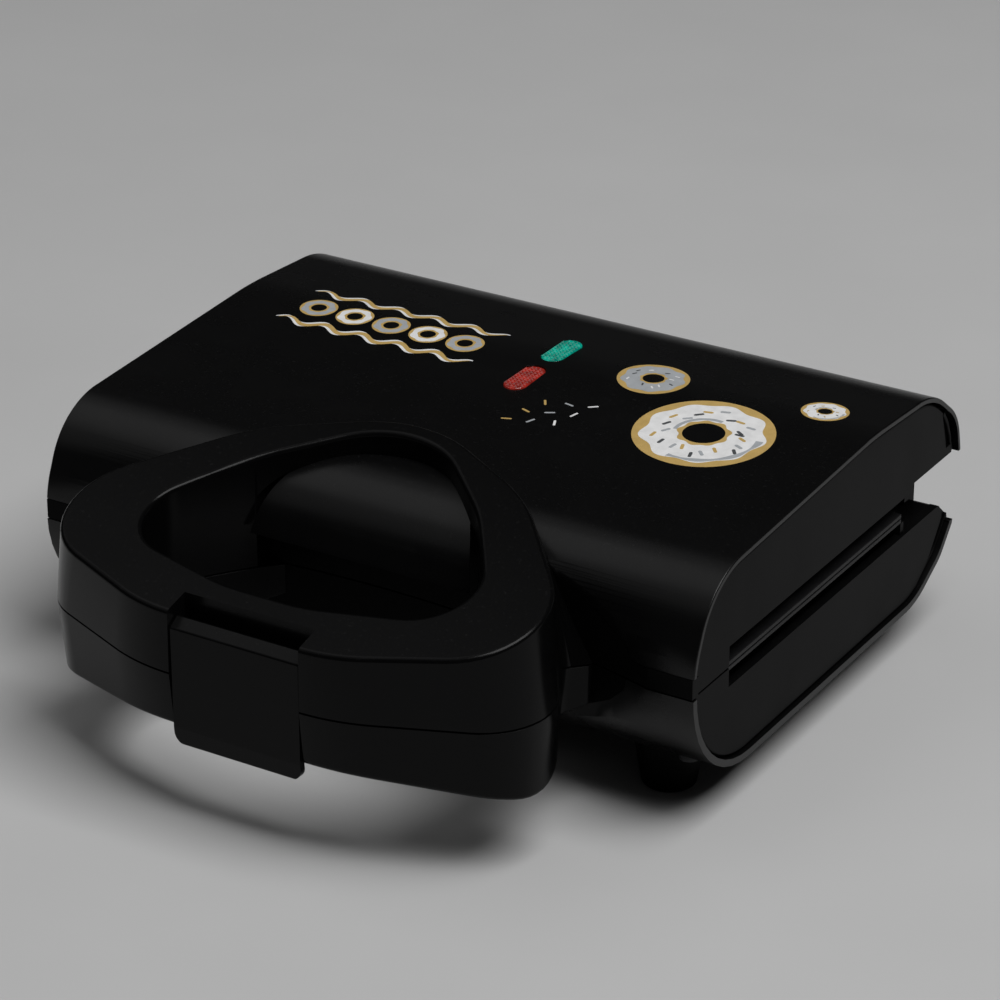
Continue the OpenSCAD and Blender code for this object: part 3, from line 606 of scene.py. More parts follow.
class EdgeRub(Effect):
    """Where hands and cloths have rubbed the corners a little duller."""

    def wire(self, graph: Graph, given: bpy.types.Node, result: bpy.types.Node) -> None:
        """A mask from how sharply the surface turns, broken up by noise.

        Args:
            graph: The group's graph.
            given: The node that holds the group's inputs.
            result: The node that takes its outputs.
        """
        turn = graph.add("ShaderNodeNewGeometry").outputs["Pointiness"]
        edge = graph.spread(turn, 0.52, 0.62, 0.0, 1.0)
        broken = graph.spread(graph.noise(140.0, detail=5), 0.42, 0.62, 0.2, 1.0)
        rubbed = graph.maths("MULTIPLY", edge, broken)
        mask = graph.maths("MULTIPLY", rubbed, given.outputs["Amount"], clamp=True)
        graph.feed(result.inputs["Mask"], mask)


class SettledDust(Effect):
    """Fine dust on what faces upwards."""

    def wire(self, graph: Graph, given: bpy.types.Node, result: bpy.types.Node) -> None:
        """A mask from the surface's direction and specks of noise.

        Args:
            graph: The group's graph.
            given: The node that holds the group's inputs.
            result: The node that takes its outputs.
        """
        normal = graph.add("ShaderNodeNewGeometry").outputs["Normal"]
        upward = graph.add("ShaderNodeSeparateXYZ", {"Vector": normal}).outputs["Z"]
        facing = graph.spread(upward, 0.35, 1.0, 0.0, 1.0)
        specks = graph.spread(graph.noise(given.outputs["Speck Scale"], detail=6), 0.6, 0.78, 0.0, 1.0)
        dusty = graph.maths("MULTIPLY", facing, specks)
        graph.feed(result.inputs["Mask"], graph.maths("MULTIPLY", dusty, given.outputs["Amount"], clamp=True))


class Handling(Effect):
    """Broad wiped smears that change how glossy a surface is."""

    def wire(self, graph: Graph, given: bpy.types.Node, result: bpy.types.Node) -> None:
        """A mask of long soft streaks.

        Args:
            graph: The group's graph.
            given: The node that holds the group's inputs.
            result: The node that takes its outputs.
        """
        smear = graph.noise(16.0, stretch=(1.0, 2.6, 1.0), detail=3)
        soft = graph.spread(smear, 0.45, 0.7, 0.0, 1.0)
        graph.feed(result.inputs["Mask"], graph.maths("MULTIPLY", soft, given.outputs["Amount"], clamp=True))


class RolledGrain(Effect):
    """The lines that rolling, drawing or turning leave in metal."""

    def wire(self, graph: Graph, given: bpy.types.Node, result: bpy.types.Node) -> None:
        """Long thin streaks for roughness, height and shade.

        Args:
            graph: The group's graph.
            given: The node that holds the group's inputs.
            result: The node that takes its outputs.
        """
        streak = graph.noise(given.outputs["Lines"], stretch=(0.03, 1.0, 1.0), detail=4)
        centred = graph.maths("SUBTRACT", streak, 0.5)
        offset = graph.maths("MULTIPLY", centred, given.outputs["Roughness Spread"])
        roughness = graph.maths("ADD", given.outputs["Roughness"], offset, clamp=True)
        graph.feed(result.inputs["Roughness"], roughness)
        graph.feed(result.inputs["Height"], streak)
        graph.feed(result.inputs["Shade"], graph.spread(streak, 0.3, 0.7, 0.0, 1.0))


class Speckle(Effect):
    """Small flecks, as in a non-stick coating or a fired ceramic."""

    def wire(self, graph: Graph, given: bpy.types.Node, result: bpy.types.Node) -> None:
        """A mask of cells and their height.

        Args:
            graph: The group's graph.
            given: The node that holds the group's inputs.
            result: The node that takes its outputs.
        """
        place = graph.add("ShaderNodeTexCoord").outputs["Object"]
        inputs = {"Vector": place, "Scale": given.outputs["Density"]}
        cells = graph.add("ShaderNodeTexVoronoi", inputs).outputs["Distance"]
        graph.feed(result.inputs["Mask"], graph.spread(cells, 0.12, 0.3, 1.0, 0.0))
        graph.feed(result.inputs["Height"], cells)


class Braid(Effect):
    """The crossed yarns of a woven sleeve."""

    def wire(self, graph: Graph, given: bpy.types.Node, result: bpy.types.Node) -> None:
        """Two sets of diagonal waves, one over the other.

        Args:
            graph: The group's graph.
            given: The node that holds the group's inputs.
            result: The node that takes its outputs.
        """
        place = graph.add("ShaderNodeTexCoord").outputs["Object"]
        waves = []
        for turn in (math.radians(45), math.radians(-45)):
            mapped = graph.add("ShaderNodeMapping", {"Vector": place, "Rotation": (0, turn, turn)}).outputs[0]
            inputs = {"Vector": mapped, "Scale": given.outputs["Yarns"]}
            waves.append(graph.add("ShaderNodeTexWave", inputs).outputs["Fac"])
        crossed = graph.maths("MAXIMUM", *waves)
        graph.feed(result.inputs["Mask"], crossed)
        graph.feed(result.inputs["Height"], crossed)


SKIN = MouldedSkin(
    "moulded skin", (("Grain", 900.0), ("Roughness", 0.2), ("Roughness Spread", 0.1)), ("Roughness", "Height")
)
EDGE_RUB = EdgeRub("edge rub", (("Amount", 0.3),), ("Mask",))
DUST = SettledDust("settled dust", (("Amount", 0.1), ("Speck Scale", 900.0)), ("Mask",))
HANDLING = Handling("handling smears", (("Amount", 0.1),), ("Mask",))
ROLLED = RolledGrain(
    "rolled grain",
    (("Lines", 900.0), ("Roughness", 0.3), ("Roughness Spread", 0.2)),
    ("Roughness", "Height", "Shade"),
)
SPECKLE = Speckle("speckle", (("Density", 900.0),), ("Mask", "Height"))
BRAID = Braid("braid", (("Yarns", 500.0),), ("Mask", "Height"))


# ---- Finishes ----


DUST_COLOUR: RGB = (0.12, 0.12, 0.12)
RUBBED_METAL: RGB = (0.75, 0.75, 0.75)
COATING_FLECK: RGB = (0.03, 0.03, 0.032)
COATING_RIM: RGB = (0.03, 0.029, 0.028)
WARM_GLOW: RGB = (0.95, 0.75, 0.6)


@dataclass(frozen=True)
class Finish(ABC):
    """What a piece is made of and how its surface looks."""

    name: str
    slot: str
    colour: RGB

    @abstractmethod
    def wire(self, graph: Graph, shader: bpy.types.Node) -> None:
        """Builds the finish on the material's shader.

        Args:
            graph: The material's graph.
            shader: Its shader.
        """

    def material(self) -> bpy.types.Material:
        """The material, built the first time it is asked for."""
        if self.name in bpy.data.materials:
            return bpy.data.materials[self.name]
        material = bpy.data.materials.new(self.name)
        material.use_nodes = True
        graph = Graph(material.node_tree)
        self.wire(graph, material.node_tree.nodes["Principled BSDF"])
        return material

    def bumped(self, graph: Graph, shader: bpy.types.Node, height: object, depth: float) -> None:
        """Feeds a height to the shader's normal.

        Args:
            graph: The material's graph.
            shader: Its shader.
            height: The height's socket.
            depth: Depth of the relief, in millimetres.
        """
        bump = graph.add("ShaderNodeBump", {"Height": height, "Strength": 1.0, "Distance": depth * MM})
        graph.feed(shader.inputs["Normal"], bump.outputs[0])


@dataclass(frozen=True)
class MouldedPlastic(Finish):
    """Black moulded plastic, from high gloss to satin."""

    roughness: float = 0.16
    gloss: float = 0.35
    grain_depth: float = 0.004
    wear: float = 0.25
    dust: float = 0.05

    def wire(self, graph: Graph, shader: bpy.types.Node) -> None:
        """Moulding waves, rubbed edges, smears and dust on a dark base.

        Args:
            graph: The material's graph.
            shader: Its shader.
        """
        skin = SKIN.placed(graph, Roughness=self.roughness, Roughness_Spread=self.roughness * 0.35)
        rub = EDGE_RUB.placed(graph, Amount=self.wear).outputs["Mask"]
        smear = HANDLING.placed(graph, Amount=0.1).outputs["Mask"]
        dust = DUST.placed(graph, Amount=self.dust).outputs["Mask"]
        worn = tuple(min(1.0, part * 2.2 + 0.01) for part in self.colour)
        colour = graph.mixed(rub, self.colour, worn)
        graph.feed(shader.inputs["Base Color"], graph.mixed(dust, colour, DUST_COLOUR))
        duller = graph.maths("ADD", smear, graph.maths("MULTIPLY", rub, 0.4))
        duller = graph.maths("ADD", graph.maths("MULTIPLY", duller, 0.35), graph.maths("MULTIPLY", dust, 0.4))
        graph.feed(shader.inputs["Roughness"], graph.maths("ADD", duller, skin.outputs["Roughness"]))
        shader.inputs["Specular IOR Level"].default_value = self.gloss
        self.bumped(graph, shader, skin.outputs["Height"], self.grain_depth)


@dataclass(frozen=True)
class WorkedMetal(Finish):
    """Bare sheet, wire or turned metal."""

    roughness: float = 0.3
    tint: RGB = (0.4, 0.4, 0.41)
    lines: float = 900.0
    rub: float = 0.5

    def wire(self, graph: Graph, shader: bpy.types.Node) -> None:
        """Rolled lines over a metallic base.

        Args:
            graph: The material's graph.
            shader: Its shader.
        """
        grain = ROLLED.placed(graph, Lines=self.lines, Roughness=self.roughness, Roughness_Spread=0.18)
        rub = EDGE_RUB.placed(graph, Amount=self.rub).outputs["Mask"]
        colour = graph.mixed(grain.outputs["Shade"], self.tint, self.colour)
        graph.feed(shader.inputs["Base Color"], graph.mixed(rub, colour, RUBBED_METAL))
        graph.feed(shader.inputs["Roughness"], grain.outputs["Roughness"])
        shader.inputs["Metallic"].default_value = 1.0
        self.bumped(graph, shader, grain.outputs["Height"], 0.006)


@dataclass(frozen=True)
class NonStick(Finish):
    """Cast aluminium under a dark non-stick coating."""

    def wire(self, graph: Graph, shader: bpy.types.Node) -> None:
        """A satin dark coat with pale flecks and rubbed rims.

        Args:
            graph: The material's graph.
            shader: Its shader.
        """
        flecks = SPECKLE.placed(graph, Density=1500.0)
        skin = SKIN.placed(graph, Grain=1800.0, Roughness=0.38, Roughness_Spread=0.2)
        rub = EDGE_RUB.placed(graph, Amount=0.4).outputs["Mask"]
        spotted = graph.maths("MULTIPLY", flecks.outputs["Mask"], 0.35)
        colour = graph.mixed(spotted, self.colour, COATING_FLECK)
        graph.feed(shader.inputs["Base Color"], graph.mixed(rub, colour, COATING_RIM))
        graph.feed(shader.inputs["Roughness"], skin.outputs["Roughness"])
        shader.inputs["Specular IOR Level"].default_value = 0.12
        self.bumped(graph, shader, skin.outputs["Height"], 0.02)


@dataclass(frozen=True)
class LensPlastic(Finish):
    """Clear tinted plastic over a small lamp."""

    lit: float = 0.25

    def wire(self, graph: Graph, shader: bpy.types.Node) -> None:
        """A deep tint that brightens in the middle, as over a lamp.

        Args:
            graph: The material's graph.
            shader: Its shader.
        """
        cloud = graph.spread(graph.noise(420.0, detail=2), 0.35, 0.65, 0.0, 1.0)
        deep = tuple(part * 0.45 for part in self.colour)
        colour = graph.mixed(cloud, deep, self.colour)
        facing = graph.add("ShaderNodeLayerWeight", {"Blend": 0.35}).outputs["Facing"]
        graph.feed(shader.inputs["Base Color"], graph.mixed(facing, colour, deep))
        skin = SKIN.placed(graph, Grain=2600.0, Roughness=0.12, Roughness_Spread=0.06)
        graph.feed(shader.inputs["Roughness"], skin.outputs["Roughness"])
        graph.feed(shader.inputs["Emission Color"], colour)
        shader.inputs["Emission Strength"].default_value = self.lit
        shader.inputs["Transmission Weight"].default_value = 0.25
        shader.inputs["Coat Weight"].default_value = 0.5
        shader.inputs["Coat Roughness"].default_value = 0.05
        self.bumped(graph, shader, skin.outputs["Height"], 0.01)


@dataclass(frozen=True)
class PrintInk(Finish):
    """Pad-printed ink, plain or with metal flakes."""

    flakes: float = 0.0

    def wire(self, graph: Graph, shader: bpy.types.Node) -> None:
        """Slightly uneven cover, with glints where the ink holds flakes.

        Args:
            graph: The material's graph.
            shader: Its shader.
        """
        cloud = graph.spread(graph.noise(300.0, detail=5), 0.3, 0.7, 0.0, 1.0)
        thin = tuple(part * 0.86 for part in self.colour)
        colour = graph.mixed(cloud, thin, self.colour)
        glint = SPECKLE.placed(graph, Density=5200.0).outputs["Mask"]
        bright = tuple(min(1.0, part * 1.25) for part in self.colour)
        share = graph.maths("MULTIPLY", glint, self.flakes)
        graph.feed(shader.inputs["Base Color"], graph.mixed(share, colour, bright))
        skin = SKIN.placed(graph, Grain=2200.0, Roughness=0.36, Roughness_Spread=0.12)
        graph.feed(shader.inputs["Roughness"], skin.outputs["Roughness"])
        self.bumped(graph, shader, skin.outputs["Height"], 0.006)


@dataclass(frozen=True)
class Ceramic(Finish):
    """Fired ceramic or a pale heat-resistant moulding."""

    def wire(self, graph: Graph, shader: bpy.types.Node) -> None:
        """A chalky surface with darker specks.

        Args:
            graph: The material's graph.
            shader: Its shader.
        """
        specks = SPECKLE.placed(graph, Density=700.0)
        skin = SKIN.placed(graph, Grain=1500.0, Roughness=0.55, Roughness_Spread=0.15)
        dark = tuple(part * 0.7 for part in self.colour)
        spotted = graph.maths("MULTIPLY", specks.outputs["Mask"], 0.5)
        graph.feed(shader.inputs["Base Color"], graph.mixed(spotted, self.colour, dark))
        graph.feed(shader.inputs["Roughness"], skin.outputs["Roughness"])
        self.bumped(graph, shader, skin.outputs["Height"], 0.03)


@dataclass(frozen=True)
class WovenSleeve(Finish):
    """Glass-fibre sleeve on a lead."""

    def wire(self, graph: Graph, shader: bpy.types.Node) -> None:
        """Crossed yarns, darker between them.

        Args:
            graph: The material's graph.
            shader: Its shader.
        """
        yarns = BRAID.placed(graph, Yarns=420.0)
        dark = tuple(part * 0.55 for part in self.colour)
        graph.feed(shader.inputs["Base Color"], graph.mixed(yarns.outputs["Mask"], dark, self.colour))
        shader.inputs["Roughness"].default_value = 0.7
        self.bumped(graph, shader, yarns.outputs["Height"], 0.15)


@dataclass(frozen=True)
class BulbGlass(Finish):
    """Thin clear glass with a warm glow behind it."""

    def wire(self, graph: Graph, shader: bpy.types.Node) -> None:
        """Clear glass with faint clouding.

        Args:
            graph: The material's graph.
            shader: Its shader.
        """
        cloud = graph.spread(graph.noise(260.0), 0.3, 0.7, 0.02, 0.12)
        graph.feed(shader.inputs["Roughness"], cloud)
        warm = graph.mixed(graph.noise(300.0), self.colour, WARM_GLOW)
        graph.feed(shader.inputs["Base Color"], warm)
        shader.inputs["Transmission Weight"].default_value = 0.8
        shader.inputs["IOR"].default_value = 1.48


GLOSS_SHELL = MouldedPlastic(
    "gloss black shell", "gloss_shell", (0.0024, 0.0024, 0.0025), roughness=0.27, gloss=0.25, wear=0.1
)
HOUSING = MouldedPlastic(
    "black housing", "housing", (0.0024, 0.0024, 0.0025),
    roughness=0.3, gloss=0.03, grain_depth=0.003, wear=0.1,
)
HANDLE_PLASTIC = MouldedPlastic(
    "black handle plastic", "handle", (0.0022, 0.0022, 0.0023), roughness=0.2, gloss=0.11, wear=0.1
)
FOOT_RUBBER = MouldedPlastic(
    "black foot rubber", "feet", (0.0016, 0.0016, 0.0016),
    roughness=0.5, gloss=0.04, grain_depth=0.03, wear=0.1, dust=0.02,
)
GLAND_RUBBER = MouldedPlastic(
    "black gland rubber", "rubber", (0.013, 0.013, 0.013), roughness=0.55, gloss=0.25, grain_depth=0.03
)
# Near-black coating: partly the coating's own dark colour, partly painted shade, set darker than a plain
# non-stick so the plate rims in the end slots read as dark as the shade there.
NON_STICK_AND_SLOT_SHADE = NonStick("non-stick coating", "non_stick", (0.007, 0.007, 0.0075))
ELEMENT = WorkedMetal("element sheath", "element", (0.25, 0.24, 0.23), 0.42, (0.13, 0.12, 0.12))
SHEET = WorkedMetal("bright sheet", "sheet_steel", (0.62, 0.63, 0.64), 0.22, (0.5, 0.51, 0.52))
ZINC = WorkedMetal("zinc-plated steel", "zinc_steel", (0.6, 0.61, 0.63), 0.3, (0.45, 0.46, 0.48), 1600.0)
# Near-black steel for the screws, much darker than the zinc-plated steel of their slot.
DARK_SCREW_STEEL = WorkedMetal(
    "dark screw steel", "zinc_steel", (0.02, 0.02, 0.021), 0.5, (0.014, 0.014, 0.015), 1600.0, rub=0.03
)
FUSE_METAL = WorkedMetal("fuse cartridge", "fuse", (0.62, 0.46, 0.24), 0.3, (0.5, 0.36, 0.18), 1600.0)
GREEN_LENS = LensPlastic("green lens", "green_lens", (0.0, 0.42, 0.31))
RED_LENS = LensPlastic("red lens", "red_lens", (0.42, 0.03, 0.02))
HOLDER = Ceramic("pale moulding", "holder", (0.7, 0.66, 0.58))
THERMOSTAT = Ceramic("thermostat ceramic", "ceramic_can", (0.6, 0.55, 0.46))
SLEEVE = WovenSleeve("woven sleeve", "wire_sleeve", (0.75, 0.73, 0.67))
BULB = BulbGlass("lamp glass", "lamp_glass", (0.9, 0.8, 0.72))
GOLD_INK = PrintInk("gold ink", "gloss_shell", (0.56, 0.38, 0.13), 0.8)
WHITE_INK = PrintInk("white ink", "gloss_shell", (0.86, 0.86, 0.86))
PALE_INK = PrintInk("pale grey ink", "gloss_shell", (0.42, 0.44, 0.46))
DARK_INK = PrintInk("dark grey ink", "gloss_shell", (0.08, 0.085, 0.09))
CAD_FINISHES = (
    GLOSS_SHELL, HOUSING, HANDLE_PLASTIC, FOOT_RUBBER, GLAND_RUBBER, NON_STICK_AND_SLOT_SHADE, ELEMENT, SHEET, ZINC,
    FUSE_METAL, GREEN_LENS, RED_LENS, HOLDER, THERMOSTAT, SLEEVE, BULB,
)


def dress(piece: bpy.types.Object, finish: Finish) -> bpy.types.Object:
    """Gives a piece its finish.

    Args:
        piece: The piece.
        finish: The finish.

    Returns:
        The piece.
    """
    if not piece.material_slots:
        piece.data.materials.append(finish.material())
    for slot in piece.material_slots:
        slot.link = "OBJECT"
        slot.material = finish.material()
    return piece


def mount(piece: bpy.types.Object, body: Body, finish: Finish, *nodes: str) -> bpy.types.Object:
    """Dresses a piece, puts it on its body and lets it stand for CAD nodes.

    Args:
        piece: The piece.
        body: The body that it rides on.
        finish: The finish.
        nodes: The nodes that it stands for.

    Returns:
        The piece.
    """
    dress(piece, finish)
    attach(piece, body.value)
    if nodes:
        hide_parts(*nodes)
    log.info("%s rides on %s in %s", piece.name, body.value, finish.name)
    return piece


def soften(piece: bpy.types.Object, width: float, angle: float = 48.0, segments: int = 2) -> bpy.types.Object:
    """Rounds a carved piece's sharp edges a little and shades it smooth.

    Args:
        piece: The piece.
        width: Width of the rounded edges, in millimetres.
        angle: Edges that turn by more than this many degrees are rounded.
        segments: Number of faces across each rounded edge.

    Returns:
        The piece.
    """
    weld = piece.modifiers.new("join", "WELD")
    weld.merge_threshold = WELD_DISTANCE * MM
    flat = piece.modifiers.new("flat faces", "DECIMATE")
    flat.decimate_type = "DISSOLVE"
    flat.angle_limit = math.radians(FLAT_ANGLE)
    edge = piece.modifiers.new("edges", "BEVEL")
    edge.width = width * MM
    edge.segments = segments
    edge.limit_method = "ANGLE"
    edge.angle_limit = math.radians(angle)
    edge.miter_outer = "MITER_ARC"
    settle(piece)
    return smooth(piece, CRISP_ANGLE)


# ---- Body ----


def in_mm(corner: Vector) -> Vector:
    """A frame corner in millimetres."""
    return corner / MM


COVER_LOW, COVER_HIGH = (in_mm(corner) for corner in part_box("top_cover"))
BOTTOM_LOW = in_mm(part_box("bottom_cover")[0])
GRIP_LOW = in_mm(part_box("upper_handle")[0])


@dataclass(frozen=True)
class BodySizes:
    """Sizes that the shells, the handle and the clip share, in millimetres."""

    half_w: float = COVER_HIGH.x
    front_y: float = COVER_LOW.y
    rear_y: float = COVER_HIGH.y
    crown_z: float = COVER_HIGH.z - 0.04
    under_z: float = BOTTOM_LOW.z
    grip_y: float = GRIP_LOW.y
    parting_z: float = 48.0
    parting_gap: float = 0.6
    cover_edge: float = 6.7
    rear_floor: float = 9.3
    deck_drop: float = 7.4
    deck_edge_drop: float = 7.3
    front_radius: float = 36.0
    plate_rear: float = 39.0
    recess_r: float = 367.0
    recess_depth: float = 14.0
    tongue_half_w: float = 39.0
    tongue_edge: float = 13.5
    clear: float = 0.2
    beyond: float = 20.0
    arc_margin: float = 15.0
    arc_steps: int = 120

    @property
    def lid_bottom_z(self) -> float:
        """Lower face of the lid at the parting plane."""
        return self.parting_z + self.parting_gap / 3

    @property
    def base_top_z(self) -> float:
        """Upper face of the base at the parting plane."""
        return self.parting_z - self.parting_gap * 2 / 3

    @property
    def recess_centre_y(self) -> float:
        """Centre of the curved recess behind the handle."""
        return self.front_y + self.recess_depth - self.recess_r

    @property
    def lid_outline(self) -> Outline:
        """Side view of the lid."""
        front, rear, part, crown = self.front_y, self.rear_y, self.parting_z, self.crown_z
        return Outline((
            Corner(front, part - 6), Corner(rear, part - 6), Corner(rear, part + self.rear_floor, 3),
            Corner(rear - 2.8, crown - 17.2, 20), Corner(rear - 22.3, crown - 2.1, 34),
            Corner(front + 113, crown + 0.2, 150), Corner(front + 21.3, crown - 4.3, 28),
            Corner(front + 7.7, crown - 11.7, 25), Corner(front, part + 9.5, 30),
        ))

    @property
    def bowl(self) -> tuple[Corner, Corner, Corner]:
        """The lower corners of the base's side view, from front to rear."""
        rear, under = self.rear_y, self.under_z
        return (
            Corner(self.front_y, under, self.front_radius), Corner(rear - 28.5, under + 0.4, 30),
            Corner(rear - 11.5, under + 9.8, 15),
        )

    @property
    def base_outline(self) -> Outline:
        """Side view of the base."""
        rear, deck, high = self.rear_y, self.parting_z - self.deck_drop, self.parting_z + self.beyond
        wall = rear - self.plate_rear + 2.5
        return Outline((
            *self.bowl, Corner(rear - 2.5, deck - self.deck_edge_drop, 2.5), Corner(rear - 11, deck, 5),
            Corner(wall, deck), Corner(wall, high), Corner(self.front_y, high),
        ))

    @property
    def base_side(self) -> Outline:
        """Side view of the base without its rear deck."""
        rear, high = self.rear_y + 6.5, self.parting_z + self.beyond
        return Outline((
            *self.bowl, Corner(rear, self.parting_z - 4.2), Corner(rear, high), Corner(self.front_y, high),
        ))

    def recess_tool(self, grow: float = 0.0) -> bpy.types.Object:
        """The curved space in front of the body that takes the handle's roots.

        Args:
            grow: Distance by which the space reaches further back.

        Returns:
            The tool.
        """
        radius = self.recess_r + grow
        reach = math.asin((self.half_w + self.arc_margin) / radius)
        half = self.arc_steps // 2
        turns = [reach * (1 - k / half) for k in range(self.arc_steps + 1)]
        arc = [Vector((radius * math.sin(t), self.recess_centre_y + radius * math.cos(t))) for t in turns]
        front = self.grip_y - self.beyond
        outline = [Vector((arc[-1].x, front)), Vector((arc[0].x, front)), *arc]
        return prism("tool", outline, (-1, self.crown_z + self.beyond), Axis.Z)


SIZES = BodySizes()


def capsule(centre: tuple[float, float], width: float, length: float, grow: float = 0.0) -> Outline:
    """A slot with round ends, long in v.

    Args:
        centre: Middle of the slot.
        width: Width of the slot.
        length: Length of the slot.
        grow: Distance by which the slot is wider all round.

    Returns:
        The outline.
    """
    half_w, half_l = width / 2 + grow, length / 2 + grow
    u = (centre[0] - half_w, centre[0] + half_w)
    v = (centre[1] - half_l, centre[1] + half_l)
    return rectangle(u, v, half_w - 0.01)


@dataclass
class Lamp:
    """One ribbed indicator lens and its slot in the cover."""

    node: str
    finish: LensPlastic
    width: float = 7.6
    length: float = 18.5
    rib_pitch: tuple[float, float] = (1.45, 1.5)
    rib_height: float = 0.6
    rib_rows: int = 6
    rib_columns: int = 2
    plain_rim: float = 0.7
    rim_edge: float = 0.35
    slot_gap: float = 0.2
    low: Vector = field(init=False)
    high: Vector = field(init=False)

    def __post_init__(self) -> None:
        """Reads the lens's place from the frame."""
        self.low, self.high = (in_mm(corner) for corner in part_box(self.node))

    @property
    def centre(self) -> tuple[float, float]:
        """Middle of the lens in plan."""
        middle = (self.low + self.high) / 2
        return middle.x, middle.y

    def slot_tool(self) -> bpy.types.Object:
        """The hole that the lens takes in the cover."""
        slot = capsule(self.centre, self.width, self.length, self.slot_gap)
        return prism("tool", slot, (self.low.z - 5, self.high.z + 5), Axis.Z)

    def ribs(self) -> list[tuple[Vector, Vector]]:
        """Middle and half size of each small pyramid on the lens."""
        step_x, step_y = self.rib_pitch
        reach = self.length / 2 - self.width / 2
        found = []
        for row in range(-self.rib_rows, self.rib_rows + 1):
            for column in range(-self.rib_columns, self.rib_columns + 1):
                place = Vector((column * step_x, row * step_y))
                past = Vector((place.x, max(abs(place.y) - reach, 0.0)))
                if past.length < self.width / 2 - self.plain_rim:
                    found.append((place, Vector((step_x / 2, step_y / 2))))
        return found

    def build(self) -> bpy.types.Object:
        """The lens, with a rounded rim and a field of small pyramids."""
        face_z = self.high.z - self.rib_height
        outline = capsule(self.centre, self.width, self.length)
        span = (self.low.z + 1, face_z)
        lens = prism(f"{self.node}_ribbed", outline, span, Axis.Z, edge=self.rim_edge)
        smooth(lens)
        middle = Vector((*self.centre, 0.0))
        verts, faces = [], []
        for place, half in self.ribs():
            base, tip = len(verts), len(verts) + 4
            for x, y in ((-1, -1), (1, -1), (1, 1), (-1, 1)):
                verts.append(middle + Vector((place.x + x * half.x, place.y + y * half.y, face_z - 0.02)))
            verts.append(middle + Vector((place.x, place.y, self.high.z)))
            faces += [(base + k, base + (k + 1) % 4, tip) for k in range(4)]
            faces.append((base + 3, base + 2, base + 1, base))
        field_of_ribs = new_piece(f"{self.node}_pyramids", verts, faces)
        mount(field_of_ribs, Body.LID, self.finish)
        return mount(lens, Body.LID, self.finish, self.node)


@dataclass
class TopCover:
    """The lid's outer shell: a curved sheet with a tongue between the handle's arms."""

    sizes: BodySizes
    lamps: Sequence[Lamp]
    wall: float = 1.6
    edge: float = 0.5
    side_line: Line = ((0.3, -3), (-0.4, 2.6), (-1.8, 5), (-4, 8.9), (-6.7, 13.4))
    side_reach: float = 7.0
    rear_lip: float = 10.0
    floor_cover: float = 0.8
    tongue_root: float = 12.0
    soft_edge: float = 0.3

    def side_tool(self, side: int) -> bpy.types.Object:
        """The space beside the tongue, which narrows towards the rear.

        Args:
            side: -1 for the left, 1 for the right.

        Returns:
            The tool.
        """
        s = self.sizes
        line = [Vector((side * (s.tongue_half_w + x), s.front_y + y)) for x, y in self.side_line]
        far_x = side * (s.tongue_half_w + self.side_reach)
        line += [Vector((far_x, line[-1].y)), Vector((far_x, line[0].y))]
        return prism("tool", line, (0, s.crown_z + s.beyond), Axis.Z)

    def build(self) -> bpy.types.Object:
        """The shell, carved from its side view."""
        s = self.sizes
        shell = prism("top_cover_shell", s.lid_outline, (-s.half_w, s.half_w), edge=self.edge, steps=24)
        carve(shell, prism("tool", s.lid_outline, (-s.half_w - 1, s.half_w + 1), inset=self.wall, steps=24))
        everywhere = (-FAR, FAR)
        carve(
            shell,
            block(everywhere, (-FAR, s.rear_y - self.rear_lip), (0, s.parting_z + s.cover_edge)),
            block(everywhere, (s.rear_y - self.rear_lip - 0.01, FAR),
                  (0, s.parting_z + s.rear_floor - self.floor_cover)),
            carve(s.recess_tool(), block((-s.tongue_half_w, s.tongue_half_w), everywhere, (-FAR, FAR))),
            block((-s.tongue_half_w - 1, s.tongue_half_w + 1), (-FAR, s.front_y + self.tongue_root),
                  (0, s.parting_z + s.tongue_edge)),
            *(self.side_tool(side) for side in (-1, 1)),
            *(lamp.slot_tool() for lamp in self.lamps),
        )
        soften(shell, self.soft_edge)
        return mount(shell, Body.LID, GLOSS_SHELL, "top_cover")


